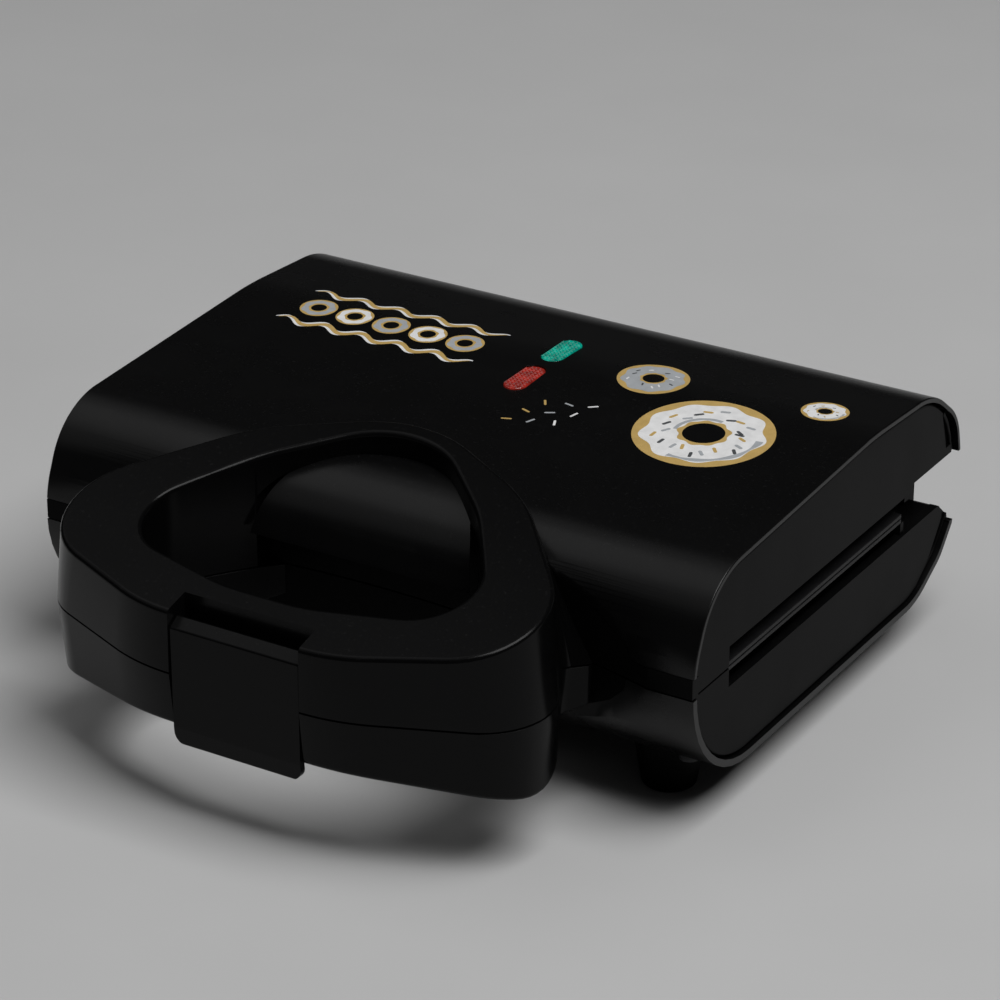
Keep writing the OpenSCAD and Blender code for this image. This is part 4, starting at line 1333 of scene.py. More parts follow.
@dataclass
class HousingEnds:
    """The smooth end faces of both housings, flush in the covers with a thin groove round them."""

    sizes: BodySizes
    face_inset: float = 1.0
    thickness: float = 2.9
    lid_edge: float = 1.4
    base_edge: float = 1.0
    groove: float = 0.45
    lid_wall: float = 1.6
    base_wall: float = 2.2
    slot_front: float = 23.5
    slot_top: float = 6.8
    slot_bottom: float = 6.5
    skirt_rear: float = 5.5
    lid_gap: Line = (
        (5, 18.5), (5, -2), (-4.7, -2), (-5.3, 3.1), (-9.3, 3.1), (-11.1, 9.3), (-13.2, 16), (-11.8, 18.5),
    )
    lid_strip: Line = (
        (-12.7, 15.7), (-9.3, 11.0), (-7.0, 6.1), (-5.5, 0.2), (-4.1, 0.2), (-5.6, 6.5), (-8.0, 11.9),
        (-11.6, 16.9),
    )
    base_gap: Line = (
        (10, 10), (10, -40), (-38, -40), (-38, -32.4), (-27.2, -29.4), (-18.6, -23.0), (-10.0, -11.8),
        (-10.4, -9.3), (-12.2, -6.9), (-14.5, -5.6), (-14.5, 10),
    )
    strip_lower: float = 0.1
    thin_inset: float = 1.3
    thin_wall: float = 1.0
    thin_edge: float = 0.3
    thin_lower: float = 0.3
    thin_length: float = 36.0
    thin_drop: float = 4.8
    lip: float = 1.6
    lip_depth: tuple[float, float] = (3.6, 0.5)
    lip_gap: float = 0.3
    lip_edge: float = 0.25
    lip_corner: float = 0.3
    contact_drop: float = 0.1
    contact_gap: float = 0.15
    soft_edge: float = 0.25
    soft_angle: float = 40.0
    strip_soft: float = 0.4
    strip_angle: float = 25.0
    thin_soft: float = 0.2

    def slab(
        self,
        name: str,
        side: int,
        outline: Outline | Sequence[Vector],
        inset: float = 0.0,
        edge: float = 0.0,
        lower: float = 0.0,
    ) -> bpy.types.Object:
        """A flat piece of one end.

        Args:
            name: Name of the piece.
            side: -1 for the left, 1 for the right.
            outline: Its side view.
            inset: Distance by which the outline moves inwards.
            edge: Radius of its edges, less than half the thickness.
            lower: Distance by which its face lies further in.

        Returns:
            The piece.
        """
        face = self.sizes.half_w - self.face_inset - lower
        span = sorted((side * (face - self.thickness), side * face))
        return prism(name, outline, (span[0], span[1]), inset=inset, edge=edge, steps=24)

    def side_view(self, line: Line, z: float) -> list[Vector]:
        """A line's points in the side view.

        Args:
            line: The points, counted from the rear end and from a height.
            z: The height.

        Returns:
            The points, in the same order.
        """
        return [Vector((self.sizes.rear_y + y, z + up)) for y, up in line]

    def lid_end(self, side: int) -> None:
        """The lid's end face with its two tapered slots and the thin wall between them.

        Args:
            side: -1 for the left, 1 for the right.
        """
        s = self.sizes
        everywhere = (-FAR, FAR)
        floor_z = s.parting_z + s.rear_floor
        plate_rear = s.rear_y - s.plate_rear
        inset = self.lid_wall + self.groove
        face = self.slab(f"lid_end_{side}", side, s.lid_outline, inset, self.lid_edge)
        carve(
            face,
            block(everywhere, everywhere, (0, s.lid_bottom_z)),
            block(everywhere, (s.front_y + self.slot_front, FAR), (0, s.parting_z + self.slot_top)),
            block(everywhere, (plate_rear + self.skirt_rear, FAR), (0, floor_z)),
            prism("tool", self.side_view(self.lid_gap, floor_z), everywhere),
        )
        soften(face, self.soft_edge, self.soft_angle)
        mount(face, Body.LID, HOUSING)
        strip = self.side_view(self.lid_strip, floor_z)
        thin = self.slab(f"lid_end_wall_{side}", side, strip, lower=self.strip_lower)
        soften(thin, self.strip_soft, self.strip_angle)
        mount(thin, Body.LID, HOUSING)

    def base_end(self, side: int) -> None:
        """The base's end face, with a thin wall between it and the cover at the rear.

        Args:
            side: -1 for the left, 1 for the right.
        """
        s = self.sizes
        everywhere = (-FAR, FAR)
        bowl = s.base_side
        face = self.slab(f"base_end_{side}", side, bowl, self.base_wall + self.groove, self.base_edge)
        carve(
            face,
            block(everywhere, everywhere, (s.base_top_z, FAR)),
            block(everywhere, (s.front_y + self.slot_front, FAR), (s.parting_z - self.slot_bottom, FAR)),
            prism("tool", self.side_view(self.base_gap, s.parting_z), everywhere),
        )
        soften(face, self.soft_edge, self.soft_angle)
        mount(face, Body.BASE, HOUSING)
        inset = self.base_wall + self.thin_inset
        thin = self.slab(f"base_end_wall_{side}", side, bowl, inset, self.thin_edge, lower=self.thin_lower)
        carve(
            thin,
            prism("tool", bowl, everywhere, inset=inset + self.thin_wall, steps=24),
            block(everywhere, (-FAR, s.rear_y - self.thin_length), everywhere),
            block(everywhere, everywhere, (s.parting_z - s.deck_drop - self.thin_drop, FAR)),
        )
        soften(thin, self.thin_soft, self.soft_angle)
        mount(thin, Body.BASE, HOUSING)

    def plate_lips(self, side: int) -> None:
        """The thin rims of both baking plates, which show in the slot; their near-black coating is partly
        painted shade.

        Args:
            side: -1 for the left, 1 for the right.
        """
        s = self.sizes
        face = s.half_w - self.face_inset
        span = sorted(side * (face - depth) for depth in self.lip_depth)
        y = (s.front_y + self.slot_front + self.lip_gap, s.rear_y - s.plate_rear - self.lip_gap)
        contact = s.parting_z - self.contact_drop
        upper = (contact + self.contact_gap, contact + self.lip)
        lower = (contact - self.lip, contact - self.contact_gap)
        for body, z in ((Body.LID, upper), (Body.BASE, lower)):
            name = f"{body.value}_plate_lip_{side}"
            lip = prism(name, rectangle(y, z, self.lip_corner), (span[0], span[1]), edge=self.lip_edge)
            smooth(lip)
            mount(lip, body, NON_STICK_AND_SLOT_SHADE)

    def build(self) -> None:
        """Both ends of the lid and of the base."""
        for side in (-1, 1):
            self.lid_end(side)
            self.base_end(side)
            self.plate_lips(side)


# ---- Handle ----


@dataclass
class HandleHalf:
    """Half of the loop handle: a hollow ring with solid roots, split at the parting plane."""

    name: str
    node: str
    body: Body
    foot_line: Outline
    top_line: Outline
    opening: Outline
    height: float
    slope: float
    root_height: float
    sizes: BodySizes
    upward: bool
    wall: float = 2.6
    edge: float = 1.4
    root_slope: float = 0.36
    root_blend: float = 5.0
    steps: int = 14
    fill: int = 3
    middle: float = 0.45
    edge_steps: int = 5
    root_reach: float = 12.0
    soft_edge: float = 0.16
    soft_angle: float = 40.0

    def height_at(self, y: float, less: float) -> float:
        """Height of the handle's face over the parting plane.

        Args:
            y: Place from front to back.
            less: Distance by which the face lies lower.

        Returns:
            The height, with a soft bend where the root limits it.
        """
        free = self.height - less + self.slope * (y - self.sizes.grip_y)
        root = self.root_height - less + self.root_slope * (self.sizes.front_y - y)
        overlap = max(self.root_blend - abs(free - root), 0.0)
        return min(free, root) - overlap**2 / (4 * self.root_blend)

    def ring(self, inset: float, less: float, edge: float, low: float) -> bpy.types.Object:
        """The closed ring, or the space inside it.

        Args:
            inset: Distance by which the walls move into the ring.
            less: Distance by which the face lies lower.
            edge: Radius of the face's edges.
            low: Height at which the ring starts.

        Returns:
            The solid.
        """
        sign = 1 if self.upward else -1
        start = self.sizes.lid_bottom_z if self.upward else self.sizes.base_top_z

        def row(line: list[Vector], share: float, drop: float) -> list[Vector]:
            """A row of points at a share of the way up, less a drop."""
            heights = [low + share * (self.height_at(p.y, less) - low) - drop for p in line]
            return [Vector((p.x, p.y, start + sign * h)) for p, h in zip(line, heights)]

        def line(outline: Outline, d: float) -> list[Vector]:
            """The points of an outline moved inwards."""
            return outline.points(d, self.steps, self.fill)

        foot, top = line(self.foot_line, inset), line(self.top_line, inset)
        part_up = [a.lerp(b, self.middle) for a, b in zip(foot, top)]
        turns = [math.radians(90 * k / self.edge_steps) for k in range(self.edge_steps + 1)]
        rows = [row(foot, 0.0, 0.0), row(part_up, self.middle, 0.0)]
        rows += [row(line(self.top_line, inset + edge * (1 - math.cos(t))), 1.0, edge * (1 - math.sin(t)))
                 for t in turns]
        rows += [row(line(self.opening, -inset - edge * (1 - math.sin(t))), 1.0, edge * (1 - math.cos(t)))
                 for t in turns]
        rows.append(row(line(self.opening, -inset), 0.0, 0.0))
        return loft(self.name, rows, ring=True)

    def hollow(self, cheek_x: float, grip_bar: float) -> bpy.types.Object:
        """The space inside the walls, without the roots and the block that carries the clip.

        Args:
            cheek_x: Half width of the solid block.
            grip_bar: Depth of the grip from front to back.

        Returns:
            The tool.
        """
        s = self.sizes
        space = self.ring(self.wall, self.wall, self.edge / 2, -1.0)
        return carve(
            space,
            block((-FAR, FAR), (s.front_y - self.root_reach, FAR), (-FAR, FAR)),
            block((-cheek_x, cheek_x), (s.grip_y, s.grip_y + grip_bar), (-FAR, FAR)),
        )

    def body_tool(self) -> bpy.types.Object:
        """The body that the roots end on, as a tool."""
        s = self.sizes
        outline = s.lid_outline if self.upward else s.base_outline
        tool = prism("tool", outline, (-s.half_w, s.half_w), inset=-s.clear)
        recess = s.recess_tool(-s.clear)
        if self.upward:
            reach = s.tongue_half_w + s.clear
            carve(recess, block((-reach, reach), (-FAR, FAR), (-FAR, FAR)))
        return carve(tool, recess)

    def build(
        self, clip_spaces: Sequence[bpy.types.Object], cheek_x: float, grip_bar: float
    ) -> bpy.types.Object:
        """The finished half.

        Args:
            clip_spaces: Tools for the spaces in which the clip sits.
            cheek_x: Half width of the solid block that carries the clip.
            grip_bar: Depth of the grip from front to back.

        Returns:
            The piece.
        """
        half = self.ring(0.0, 0.0, self.edge, 0.0)
        carve(half, self.hollow(cheek_x, grip_bar), self.body_tool(), *clip_spaces)
        soften(half, self.soft_edge, self.soft_angle)
        return mount(half, self.body, HANDLE_PLASTIC, self.node)


@dataclass
class Handle:
    """The whole loop handle with the clip at its front."""

    sizes: BodySizes
    width: float = 185.0
    grip_bar: float = 16.5
    wall: float = 2.6
    clip_w: float = 44.2
    clip_t: float = 2.2
    clip_top: float = 14.6
    clip_hood: float = 4.2
    clip_hood_rise: float = 2.6
    clip_face: float = 32.4
    clip_lip: float = 5.8
    clip_notch: float = 4.4
    clip_gap: float = 0.5
    clip_back_gap: float = 0.3
    clip_corner: float = 4.0
    clip_soft: float = 0.28
    clip_angle: float = 30.0
    face_inset: float = 0.7
    cheek: float = 0.6
    knuckle_r: float = 2.5
    pin_r: float = 1.3
    pin_drop: float = 2.1
    notch_gap: float = 0.6
    root_length: float = 13.0
    lean: float = 0.1

    @property
    def corner_x(self) -> float:
        """Half width of the handle."""
        return self.width / 2

    @property
    def root_y(self) -> float:
        """Rear end of the roots, inside the body's recess."""
        return self.sizes.front_y + self.sizes.recess_depth + self.root_length

    @property
    def space_x(self) -> float:
        """Half width of the space for the clip."""
        return self.clip_w / 2 + self.clip_gap

    def plan(self, *half: tuple[float, float, float]) -> Outline:
        """A plan outline from the right half's corners."""
        return symmetric([Corner(*corner) for corner in half])

    @property
    def top_line(self) -> Outline:
        """Plan outline of the upper face."""
        c, grip, front = self.corner_x, self.sizes.grip_y, self.sizes.front_y
        return self.plan((33, grip + 0.3, 60), (c + 5.8, grip + 24.3, 26), (c - 19.2, front - 8.6, 60),
                         (c - 44.3, front + 19.5, 60), (0, front + 42.9, 46))

    @property
    def parting_line(self) -> Outline:
        """Plan outline at the parting plane."""
        c, grip, front = self.corner_x, self.sizes.grip_y, self.sizes.front_y
        return self.plan((34, grip, 60), (c + 1.6, grip + 24.8, 22), (c - 20.5, front - 2.5, 5),
                         (c - 10.5, front + 7, 3), (0, self.root_y, 10))

    @property
    def opening_line(self) -> Outline:
        """Plan outline of the opening for the fingers."""
        c, front = self.corner_x, self.sizes.front_y
        bar = self.sizes.grip_y + self.grip_bar
        return self.plan((14, bar, 60), (c - 24.9, bar + 12, 18), (c - 45.1, front - 5, 60),
                         (c - 54.6, front + 8.3, 60), (0, front + 42.2, 30))

    @property
    def lower_line(self) -> Outline:
        """Plan outline of the lower face."""
        c, grip, front = self.corner_x, self.sizes.grip_y, self.sizes.front_y
        return self.plan((34, grip + 1.6, 60), (c + 0.3, grip + 26, 22), (c - 21, front - 2.5, 5),
                         (c - 11, front + 7, 3), (0, self.root_y, 10))

    @property
    def crease_z(self) -> float:
        """Height of the clip's upper crease."""
        return self.sizes.parting_z + self.clip_top

    @property
    def face_y(self) -> float:
        """Place of the clip's front face."""
        return self.sizes.grip_y + self.face_inset

    @property
    def pin(self) -> tuple[float, float]:
        """Axis of the clip's pin, as y and z."""
        return self.face_y + self.clip_hood, self.crease_z - self.pin_drop

    @property
    def notch_z(self) -> float:
        """Floor of the notch behind the clip's hood."""
        return self.pin[1] - self.knuckle_r - self.notch_gap

    def clip_spaces(self, upper: bool) -> list[bpy.types.Object]:
        """Tools for the spaces in which the clip sits.

        Args:
            upper: Whether they are for the upper half.

        Returns:
            The tools.
        """
        back = self.face_y + self.clip_t + self.clip_back_gap
        across = (-self.space_x, self.space_x)
        if not upper:
            return [block(across, (-FAR, back + self.clip_lip * self.lean), (0, FAR))]
        notch_y = self.pin[0] + self.clip_notch
        return [block(across, (-FAR, back), (0, self.notch_z)),
                block(across, (-FAR, notch_y), (self.notch_z - 0.01, FAR))]

    def clip(self) -> bpy.types.Object:
        """The clip: a flat face under a sloping hood, with a short lip at its foot."""
        front, back = self.face_y, self.face_y + self.clip_t
        pin_y, pin_z = self.pin
        fold_z = self.crease_z - self.clip_face
        tip_z = fold_z - self.clip_lip
        lean = self.clip_lip * self.lean
        section = Outline(tuple(reversed((
            Corner(front, self.crease_z, 1.0), Corner(front, fold_z, 1.2), Corner(front + lean, tip_z, 0.9),
            Corner(back + lean, tip_z, 0.9), Corner(back, fold_z, 1.2), Corner(back, self.notch_z + 1, 0.4),
            Corner(pin_y, self.notch_z + 0.4), Corner(pin_y + self.knuckle_r * 0.8, pin_z + 1.5),
            Corner(pin_y, self.crease_z + self.clip_hood_rise, 0.8),
        ))))
        half = self.clip_w / 2
        clip = prism("latch_clip_plate", section.points(steps=8), (-half, half))
        knuckle = circle(self.pin, self.knuckle_r, 40)
        carve(clip, prism("tool", knuckle, (-half, half)), how=Cut.ADD)
        keep = Outline((
            Corner(-half, tip_z, self.clip_corner), Corner(half, tip_z, self.clip_corner),
            Corner(half, FAR), Corner(-half, FAR),
        ))
        beyond = self.sizes.beyond
        carve(clip, prism("tool", keep, (front - beyond, back + beyond), Axis.Y), how=Cut.KEEP_COMMON)
        carve(clip, prism("tool", circle(self.pin, self.pin_r, 24), (-half - 1, half + 1)))
        soften(clip, self.clip_soft, self.clip_angle)
        return mount(clip, Body.LATCH, HANDLE_PLASTIC, "latch_clip")

    def build(self) -> None:
        """Both halves and the clip."""
        cheek_x = self.space_x + self.wall + self.cheek
        upper = HandleHalf(
            "upper_handle_shell", "upper_handle", Body.LID, self.parting_line, self.top_line,
            self.opening_line, height=19.8, slope=0.24, root_height=FAR, sizes=self.sizes, upward=True,
        )
        lower = HandleHalf(
            "lower_handle_shell", "lower_handle", Body.BASE, self.parting_line, self.lower_line,
            self.opening_line, height=16.6, slope=0.29, root_height=15.0, sizes=self.sizes, upward=False,
        )
        upper.build(self.clip_spaces(upper=True), cheek_x, self.grip_bar)
        lower.build(self.clip_spaces(upper=False), cheek_x, self.grip_bar)
        self.clip()


# ---- Feet ----


@dataclass
class Foot:
    """A tapered rubber foot with a screw well."""

    node: str
    sizes: BodySizes
    well_r: float = 3.6
    well_depth: float = 5.0
    well_edge: float = 0.5
    taper: float = 2.0
    soft_edge: float = 1.3
    edge_steps: int = 6
    facets: int = 72
    gap: float = 0.05
    soft_angle: float = 40.0

    def build(self) -> bpy.types.Object:
        """The foot, turned from its half section and cut to the shell."""
        low, high = (in_mm(corner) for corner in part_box(self.node))
        middle = (low + high) / 2
        top_r = (high.x - low.x) / 2
        foot_r = top_r - self.taper
        turns = [math.radians(90 * k / self.edge_steps) for k in range(self.edge_steps + 1)]
        well, soft = self.well_r, self.soft_edge
        section = [(well, self.well_depth), (well, self.well_edge), (well + self.well_edge, 0.0)]
        section += [(foot_r - soft + soft * math.sin(t), soft * (1 - math.cos(t))) for t in turns]
        section += [(top_r, self.sizes.under_z), (top_r, high.z + 1)]
        rows = []
        for radius, z in section:
            ring = circle((middle.x, middle.y), radius, self.facets)
            rows.append([Vector((p.x, p.y, z)) for p in ring])
        foot = loft(f"{self.node}_pad", rows)
        half_w = self.sizes.half_w
        carve(foot, prism("tool", self.sizes.base_outline, (-half_w, half_w), inset=-self.gap, steps=20))
        smooth(foot, self.soft_angle)
        return mount(foot, Body.BASE, FOOT_RUBBER, self.node)


# ---- Print on the cover ----


@dataclass(frozen=True)
class Cake:
    """One ring cake of the print, with the inks of its icing and of its sugar strands."""

    name: str
    centre: tuple[float, float]
    radius: float
    icing: PrintInk
    strands: tuple[PrintInk, ...]


@dataclass
class CoverPrint:
    """Thin layers of ink that follow the cover's curve: ring cakes with icing, waves and sugar strands."""

    sizes: BodySizes
    ink: float = 0.05
    layer: float = 0.025
    sink: float = 0.02
    step: float = 1.6
    pitch: float = 0.5
    samples: int = 350
    fewest: int = 24
    density: float = 10.0
    strand_steps: int = 16
    wave_steps: int = 140
    wave_height: float = 1.7
    wave_length: float = 14.0
    wave_tip: float = 0.15
    wave_rise: float = 6.0
    band_count: int = 5
    band_pitch: float = 14.0
    band_start: tuple[float, float] = (-84.0, 51.0)
    band_sides: tuple[tuple[str, float], ...] = (("front", 39.5), ("rear", 62.5))
    band_left: float = -93.0
    band_length: float = 74.0
    band_widths: tuple[float, float] = (3.0, 2.0)
    ring_radii: tuple[float, float] = (2.6, 6.3)
    icing_radii: tuple[float, float] = (3.4, 5.5)
    icing_waves: tuple[float, int] = (0.25, 7)
    strand_size: tuple[float, float] = (3.4, 0.75)
    strand_start: tuple[float, float] = (11.0, 12.0)
    strand_pitch: tuple[float, float] = (7.3, 7.5)
    strand_shift: tuple[float, float] = (2.5, 2.2)
    cakes: tuple[Cake, ...] = (
        Cake("print_cake_large", (69, 32), 22.0, WHITE_INK, (DARK_INK, GOLD_INK, PALE_INK)),
        Cake("print_cake_middle", (37, 58), 11.5, PALE_INK, (WHITE_INK, DARK_INK)),
        Cake("print_cake_small", (94, 64), 7.5, WHITE_INK, (GOLD_INK, DARK_INK)),
    )
    heights: list[float] = field(init=False)

    def __post_init__(self) -> None:
        """Keeps the cover's height at even steps from front to back."""
        outline, front = self.sizes.lid_outline, self.sizes.front_y
        self.heights = [outline.top_at(front + self.pitch * k + 0.01) for k in range(self.samples)]

    def height(self, y: float) -> float:
        """The cover's height.

        Args:
            y: Place from front to back.

        Returns:
            The height there.
        """
        at = (y - self.sizes.front_y) / self.pitch
        low = int(at)
        return self.heights[low] + (self.heights[low + 1] - self.heights[low]) * (at - low)

    def strip(
        self,
        name: str,
        sides: tuple[Sequence[Vector], Sequence[Vector]],
        finish: Finish,
        level: int,
        closed: bool,
    ) -> bpy.types.Object:
        """Ink between two lines with as many points.

        Args:
            name: Name of the piece.
            sides: The two lines in plan.
            finish: The ink.
            level: Number of layers below it.
            closed: Whether the lines close on themselves.

        Returns:
            The piece.
        """
        widest = max((a - b).length for a, b in zip(*sides))
        rows = max(1, math.ceil(widest / self.step))
        count = len(sides[0])
        lift = self.ink + self.layer * level
        verts, faces = [], []
        for k in range(rows + 1):
            for a, b in zip(*sides):
                p = a.lerp(b, k / rows)
                verts.append(Vector((p.x, p.y, self.height(p.y) + lift)))
        for k in range(rows):
            for j in range(count if closed else count - 1):
                n = (j + 1) % count
                faces.append((k * count + j, k * count + n, (k + 1) * count + n, (k + 1) * count + j))
        piece = new_piece(name, verts, faces)
        if piece.data.polygons[0].normal.z < 0:
            piece.data.flip_normals()
        body = piece.modifiers.new("ink", "SOLIDIFY")
        body.thickness = (lift + self.sink) * MM
        body.offset = -1.0
        settle(piece)
        return mount(piece, Body.LID, finish)

    def ring(
        self,
        name: str,
        centre: Vector,
        radii: tuple[float, float],
        finish: Finish,
        level: int,
        waves: tuple[float, int] = (0.0, 0),
        turns: tuple[float, float] = (0.0, 360.0),
    ) -> None:
        """A ring or a part of one, with wavy edges if they are asked for.

        Args:
            name: Name of the piece.
            centre: Its centre in plan.
            radii: Inner and outer radius.
            finish: The ink.
            level: Number of layers below it.
            waves: Height and number of the waves along the edges.
            turns: Where a part of a ring starts and ends, in degrees.
        """
        closed = turns[1] - turns[0] >= 360
        count = max(self.fewest, int(radii[1] * self.density * (turns[1] - turns[0]) / 360))
        sides: tuple[list[Vector], list[Vector]] = ([], [])
        for k in range(count):
            at = math.radians(turns[0] + (turns[1] - turns[0]) * k / (count if closed else count - 1))
            out = Vector((math.cos(at), math.sin(at)))
            wave = waves[0] * (math.sin(waves[1] * at) + 0.4 * math.sin((waves[1] - 2) * at + 1.3))
            sides[0].append(centre + out * (radii[0] - wave * 0.5))
            sides[1].append(centre + out * (radii[1] + wave))
        self.strip(name, sides, finish, level, closed)

    def strand(
        self, name: str, centre: Vector, length: float, width: float, turn: float, finish: Finish, level: int
    ) -> None:
        """A sugar strand: a short bar with round ends.

        Args:
            name: Name of the piece.
            centre: Its middle in plan.
            length: Its length.
            width: Its width.
            turn: Its direction, in degrees from X.
            finish: The ink.
            level: Number of layers below it.
        """
        along = Vector((math.cos(math.radians(turn)), math.sin(math.radians(turn))))
        across = Vector((-along.y, along.x))
        sides: tuple[list[Vector], list[Vector]] = ([], [])
        for k in range(self.strand_steps + 1):
            share = math.cos(math.pi * k / self.strand_steps)
            reach = share * length / 2
            past = max(abs(reach) - (length - width) / 2, 0.0)
            half = math.sqrt(max((width / 2) ** 2 - past**2, 1e-4))
            sides[0].append(centre + along * reach - across * half)
            sides[1].append(centre + along * reach + across * half)
        self.strip(name, sides, finish, level, closed=False)

    def cake(self, cake: Cake) -> None:
        """A ring cake seen from above, with wavy icing, a shaded side and sugar strands.

        Args:
            cake: What it is like.
        """
        name, centre, radius = cake.name, Vector(cake.centre), cake.radius
        self.ring(f"{name}_dough", centre, (0.3 * radius, radius), GOLD_INK, 0)
        self.ring(f"{name}_icing", centre, (0.37 * radius, 0.86 * radius), cake.icing, 1, (0.035 * radius, 9))
        self.ring(f"{name}_shade", centre, (0.77 * radius, 0.84 * radius), PALE_INK, 2,
                  (0.02 * radius, 9), (-100, 10))
        self.ring(f"{name}_hole_shade", centre, (0.39 * radius, 0.45 * radius), PALE_INK, 2, turns=(80, 190))
        for k in range(max(8, int(radius))):
            at = math.radians(137.5 * k + 20)
            reach = radius * (0.5 + 0.2 * ((k * 5) % 7) / 6)
            place = centre + Vector((math.cos(at), math.sin(at))) * reach
            self.strand(f"{name}_strand_{k}", place, 0.15 * radius, 0.05 * radius, (k * 67) % 180,
                        cake.strands[k % len(cake.strands)], 3)

    def wave(self, name: str, start: Vector, length: float, width: float, finish: Finish, level: int) -> None:
        """A wavy line from left to right.

        Args:
            name: Name of the piece.
            start: Its left end in plan.
            length: Its length.
            width: Its width.
            finish: The ink.
            level: Number of layers below it.
        """
        sides: tuple[list[Vector], list[Vector]] = ([], [])
        steps = self.wave_steps
        for k in range(steps + 1):
            x = length * k / steps
            y = self.wave_height * math.sin(x * 2 * math.pi / self.wave_length)
            half = width / 2 * min(1.0, self.wave_tip + self.wave_rise * min(k, steps - k) / steps)
            sides[0].append(start + Vector((x, y - half)))
            sides[1].append(start + Vector((x, y + half)))
        self.strip(name, sides, finish, level, closed=False)

    def build(self) -> None:
        """All the print: a band of rings on the left, loose strands, and three cakes on the right."""
        for k in range(self.band_count):
            centre = Vector(self.band_start) + Vector((self.band_pitch * k, 0))
            icing = WHITE_INK if k % 2 else PALE_INK
            self.ring(f"print_band_ring_{k}", centre, self.ring_radii, GOLD_INK, 0)
            self.ring(f"print_band_icing_{k}", centre, self.icing_radii, icing, 1, self.icing_waves)
        left, length = self.band_left, self.band_length
        rim, width = self.band_widths
        for name, y in self.band_sides:
            self.wave(f"print_wave_{name}_rim", Vector((left, y)), length, rim, WHITE_INK, 0)
            self.wave(f"print_wave_{name}", Vector((left + 1, y)), length - 2, width, GOLD_INK, 1)
        for k in range(9):
            row, column = divmod(k, 3)
            place = Vector((
                self.strand_start[0] + self.strand_pitch[0] * column + self.strand_shift[0] * row,
                self.strand_start[1] + self.strand_pitch[1] * row + self.strand_shift[1] * column,
            ))
            ink = (GOLD_INK, PALE_INK, WHITE_INK)[column]
            self.strand(f"print_strand_{k}", place, *self.strand_size, (20 + 47 * k) % 180, ink, 0)
        for cake in self.cakes:
            self.cake(cake)


# ---- Nodes that keep their shape ----


class KeptNodes:
    """The nodes that stay as they are, with their finish, soft edges and smooth curves."""

    edges: dict[str, float] = {
        "housing": 0.3, "gloss_shell": 0.4, "handle": 0.2, "non_stick": 0.3, "feet": 0.3, "rubber": 0.3,
    }
    # The screws take the near-black steel instead of their slot's zinc-plated steel.
    exceptions: dict[str, Finish] = {"base_screws": DARK_SCREW_STEEL, "foot_screws": DARK_SCREW_STEEL}
    weld_distance: float = 0.004
    flat_angle: float = 0.5
    edge_angle: float = 40.0
    shade_angle: float = 32.0

    def __init__(self, record: dict[str, object]) -> None:
        """Takes the record's list of nodes and their slots."""
        self.slots: dict[str, str] = {row["node"]: row["material_slot"] for row in record["subparts"]}
        self.finishes = {finish.slot: finish for finish in CAD_FINISHES}

    def shading(self) -> bpy.types.NodeTree:
        """The node group that shades faces smooth up to an angle between them."""
        if "shade by angle" in bpy.data.node_groups:
            return bpy.data.node_groups["shade by angle"]
        tree = bpy.data.node_groups.new("shade by angle", "GeometryNodeTree")
        tree.interface.new_socket("Geometry", in_out="INPUT", socket_type="NodeSocketGeometry")
        tree.interface.new_socket("Geometry", in_out="OUTPUT", socket_type="NodeSocketGeometry")
        graph = Graph(tree)
        start, end = graph.add("NodeGroupInput"), graph.add("NodeGroupOutput")
        turn = graph.add("GeometryNodeInputMeshEdgeAngle").outputs["Unsigned Angle"]
        near = graph.add("FunctionNodeCompare", operation="LESS_EQUAL")
        graph.feed(near.inputs[0], turn)
        near.inputs[1].default_value = math.radians(self.shade_angle)
        faces = graph.add("GeometryNodeSetShadeSmooth", {"Geometry": start.outputs[0]}, domain="FACE")
        lines = graph.add("GeometryNodeSetShadeSmooth", {"Geometry": faces.outputs[0]}, domain="EDGE")
        graph.feed(lines.inputs["Shade Smooth"], near.outputs[0])
        graph.feed(end.inputs[0], lines.outputs[0])
        return tree

    def polish(self, node: bpy.types.Object, width: float) -> None:
        """Adds the modifiers that soften a node's edges and even its shading.

        Args:
            node: The node's object.
            width: Width of its soft edges, in millimetres.
        """
        node.modifiers.new("join", "WELD").merge_threshold = self.weld_distance * MM
        if width:
            flat = node.modifiers.new("flat faces", "DECIMATE")
            flat.decimate_type = "DISSOLVE"
            flat.angle_limit = math.radians(self.flat_angle)
            edge = node.modifiers.new("edges", "BEVEL")
            edge.width = width * MM
            edge.segments = 2
            edge.limit_method = "ANGLE"
            edge.angle_limit = math.radians(self.edge_angle)
        node.modifiers.new("shading", "NODES").node_group = self.shading()
        node.modifiers.new("even normals", "WEIGHTED_NORMAL").keep_sharp = True

    def build(self) -> None:
        """Dresses every node; those that a piece stands for are hidden already."""
        for name, node in sorted(frame["nodes"].items()):
            if node.hide_render:
                continue
            slot = self.slots[name]
            finish = self.exceptions.get(name, self.finishes[slot])
            dress(node, finish)
            self.polish(node, self.edges.get(slot, 0.0))
            log.info("%s keeps its shape, in %s", name, finish.name)


# ---- Studio ----


@dataclass(frozen=True)
class Softbox:
    """A rectangle of soft light that looks at the object; its distance and size are in metres."""

    name: str
    direction: tuple[float, float, float]
    distance: float
    size: tuple[float, float]
    watts: float


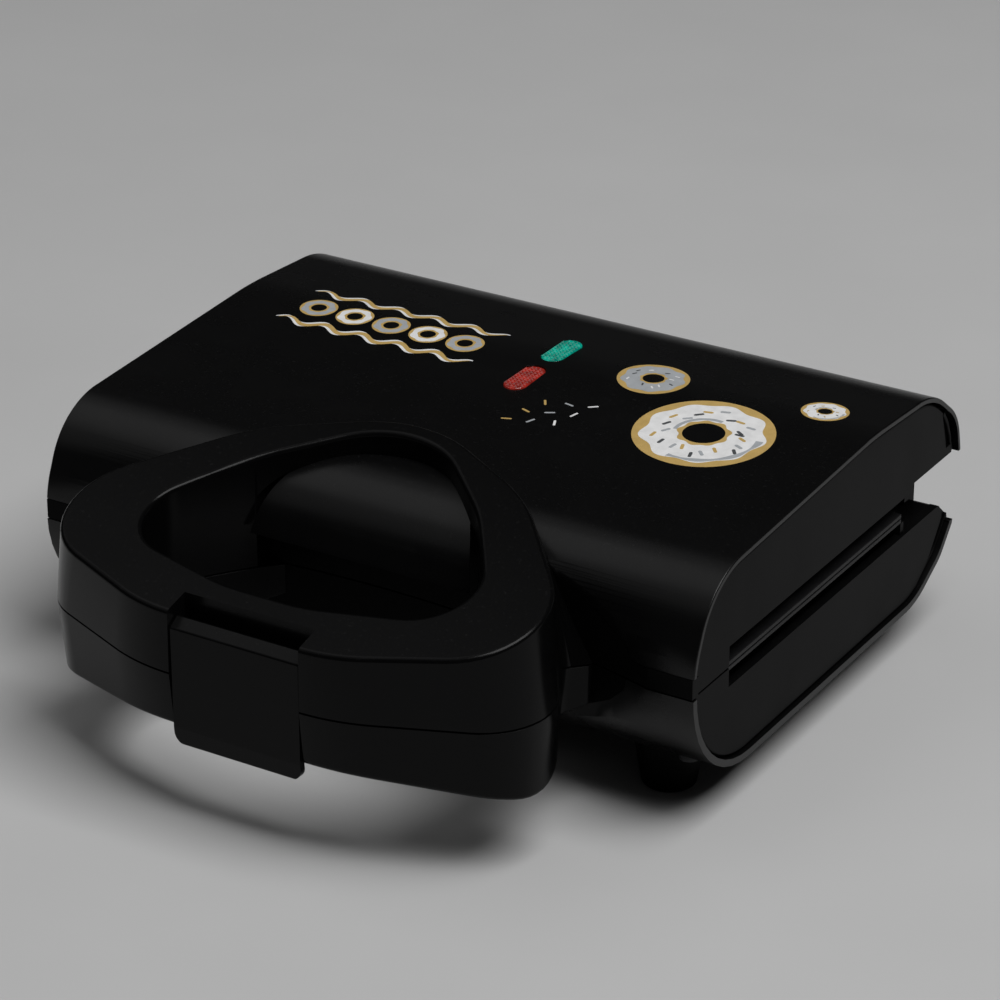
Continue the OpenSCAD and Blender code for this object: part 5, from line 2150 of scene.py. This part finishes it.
@dataclass
class Studio:
    """The floor, the lights, the surroundings and the camera."""

    floor_half: float = 15.0
    floor_shade: float = 0.52
    surroundings: float = 0.015
    target: Vector = field(default_factory=lambda: Vector((0.0, 0.0, 0.045)))
    lens_mm: float = 137.62
    sensor_mm: float = 36.0
    view_end: float = 60.0
    camera_place: tuple[float, float, float] = (0.5635, -0.9011, 0.5731)
    camera_tilt: float = 64.2
    camera_turn: float = 31.28
    softboxes: Sequence[Softbox] = (
        Softbox("main", (0.42, -0.05, 0.9), 2.4, (1.5, 1.5), 48.0),
        Softbox("overhead", (-0.43, -0.05, 0.9), 1.6, (0.9, 0.9), 1.1),
        Softbox("overhead_wide", (-0.42, -0.12, 0.9), 1.65, (2.2, 2.2), 4.0),
        Softbox("rear_low", (-0.51, 0.85, 0.07), 3.0, (3.0, 0.4), 0.8),
    )

    def lay_floor(self) -> None:
        """A wide pale floor."""
        reach = self.floor_half / MM
        corners = rectangle((-reach, reach), (-reach, reach)).points()
        floor = new_piece("floor", [Vector((p.x, p.y, 0)) for p in corners], [(0, 1, 2, 3)])
        material = bpy.data.materials.new("pale floor")
        material.use_nodes = True
        graph = Graph(material.node_tree)
        shader = material.node_tree.nodes["Principled BSDF"]
        cloud = graph.spread(graph.noise(9.0, detail=4), 0.3, 0.7, 0.0, 1.0)
        shade = (self.floor_shade,) * 3
        paler = (self.floor_shade * 1.04,) * 3
        graph.feed(shader.inputs["Base Color"], graph.mixed(cloud, shade, paler))
        shader.inputs["Roughness"].default_value = 0.9
        shader.inputs["Specular IOR Level"].default_value = 0.1
        floor.data.materials.append(material)

    def hang_lights(self) -> None:
        """The softboxes, each turned to the object."""
        for box in self.softboxes:
            lamp = bpy.data.lights.new(box.name, "AREA")
            lamp.shape = "RECTANGLE"
            lamp.size, lamp.size_y = box.size
            lamp.energy = box.watts
            holder = bpy.data.objects.new(box.name, lamp)
            direction = Vector(box.direction).normalized()
            holder.location = self.target + direction * box.distance
            holder.rotation_euler = direction.to_track_quat("Z", "Y").to_euler()
            bpy.context.scene.collection.objects.link(holder)

    def fill_surroundings(self) -> None:
        """A dim neutral world."""
        world = bpy.data.worlds.new("studio")
        world.use_nodes = True
        ground = world.node_tree.nodes["Background"]
        ground.inputs["Color"].default_value = (1.0, 1.0, 1.0, 1.0)
        ground.inputs["Strength"].default_value = self.surroundings
        bpy.context.scene.world = world

    def set_camera(self) -> None:
        """A long lens from the front right, above the lid."""
        lens = bpy.data.cameras.new("camera")
        lens.lens = self.lens_mm
        lens.sensor_width = self.sensor_mm
        lens.clip_end = self.view_end
        camera = bpy.data.objects.new("camera", lens)
        camera.location = self.camera_place
        camera.rotation_euler = (math.radians(self.camera_tilt), 0.0, math.radians(self.camera_turn))
        bpy.context.scene.collection.objects.link(camera)
        bpy.context.scene.camera = camera

    def build(self) -> None:
        """Everything around the object."""
        self.lay_floor()
        self.hang_lights()
        self.fill_surroundings()
        self.set_camera()
        bpy.context.scene.view_settings.view_transform = "Standard"


def main() -> None:
    """Builds the object's pieces in order, then the studio."""
    logging.basicConfig(level=logging.INFO, format="%(message)s")
    lamps = (Lamp("green_lens", GREEN_LENS), Lamp("red_lens", RED_LENS))
    TopCover(SIZES, lamps).build()
    for lamp in lamps:
        lamp.build()
    HousingEnds(SIZES).build()
    Handle(SIZES).build()
    for node in ("foot_front_left", "foot_front_right", "foot_rear_left", "foot_rear_right"):
        Foot(node, SIZES).build()
    CoverPrint(SIZES).build()
    KeptNodes(frame["record"]).build()
    Studio().build()


if __name__ == "__main__":
    main()
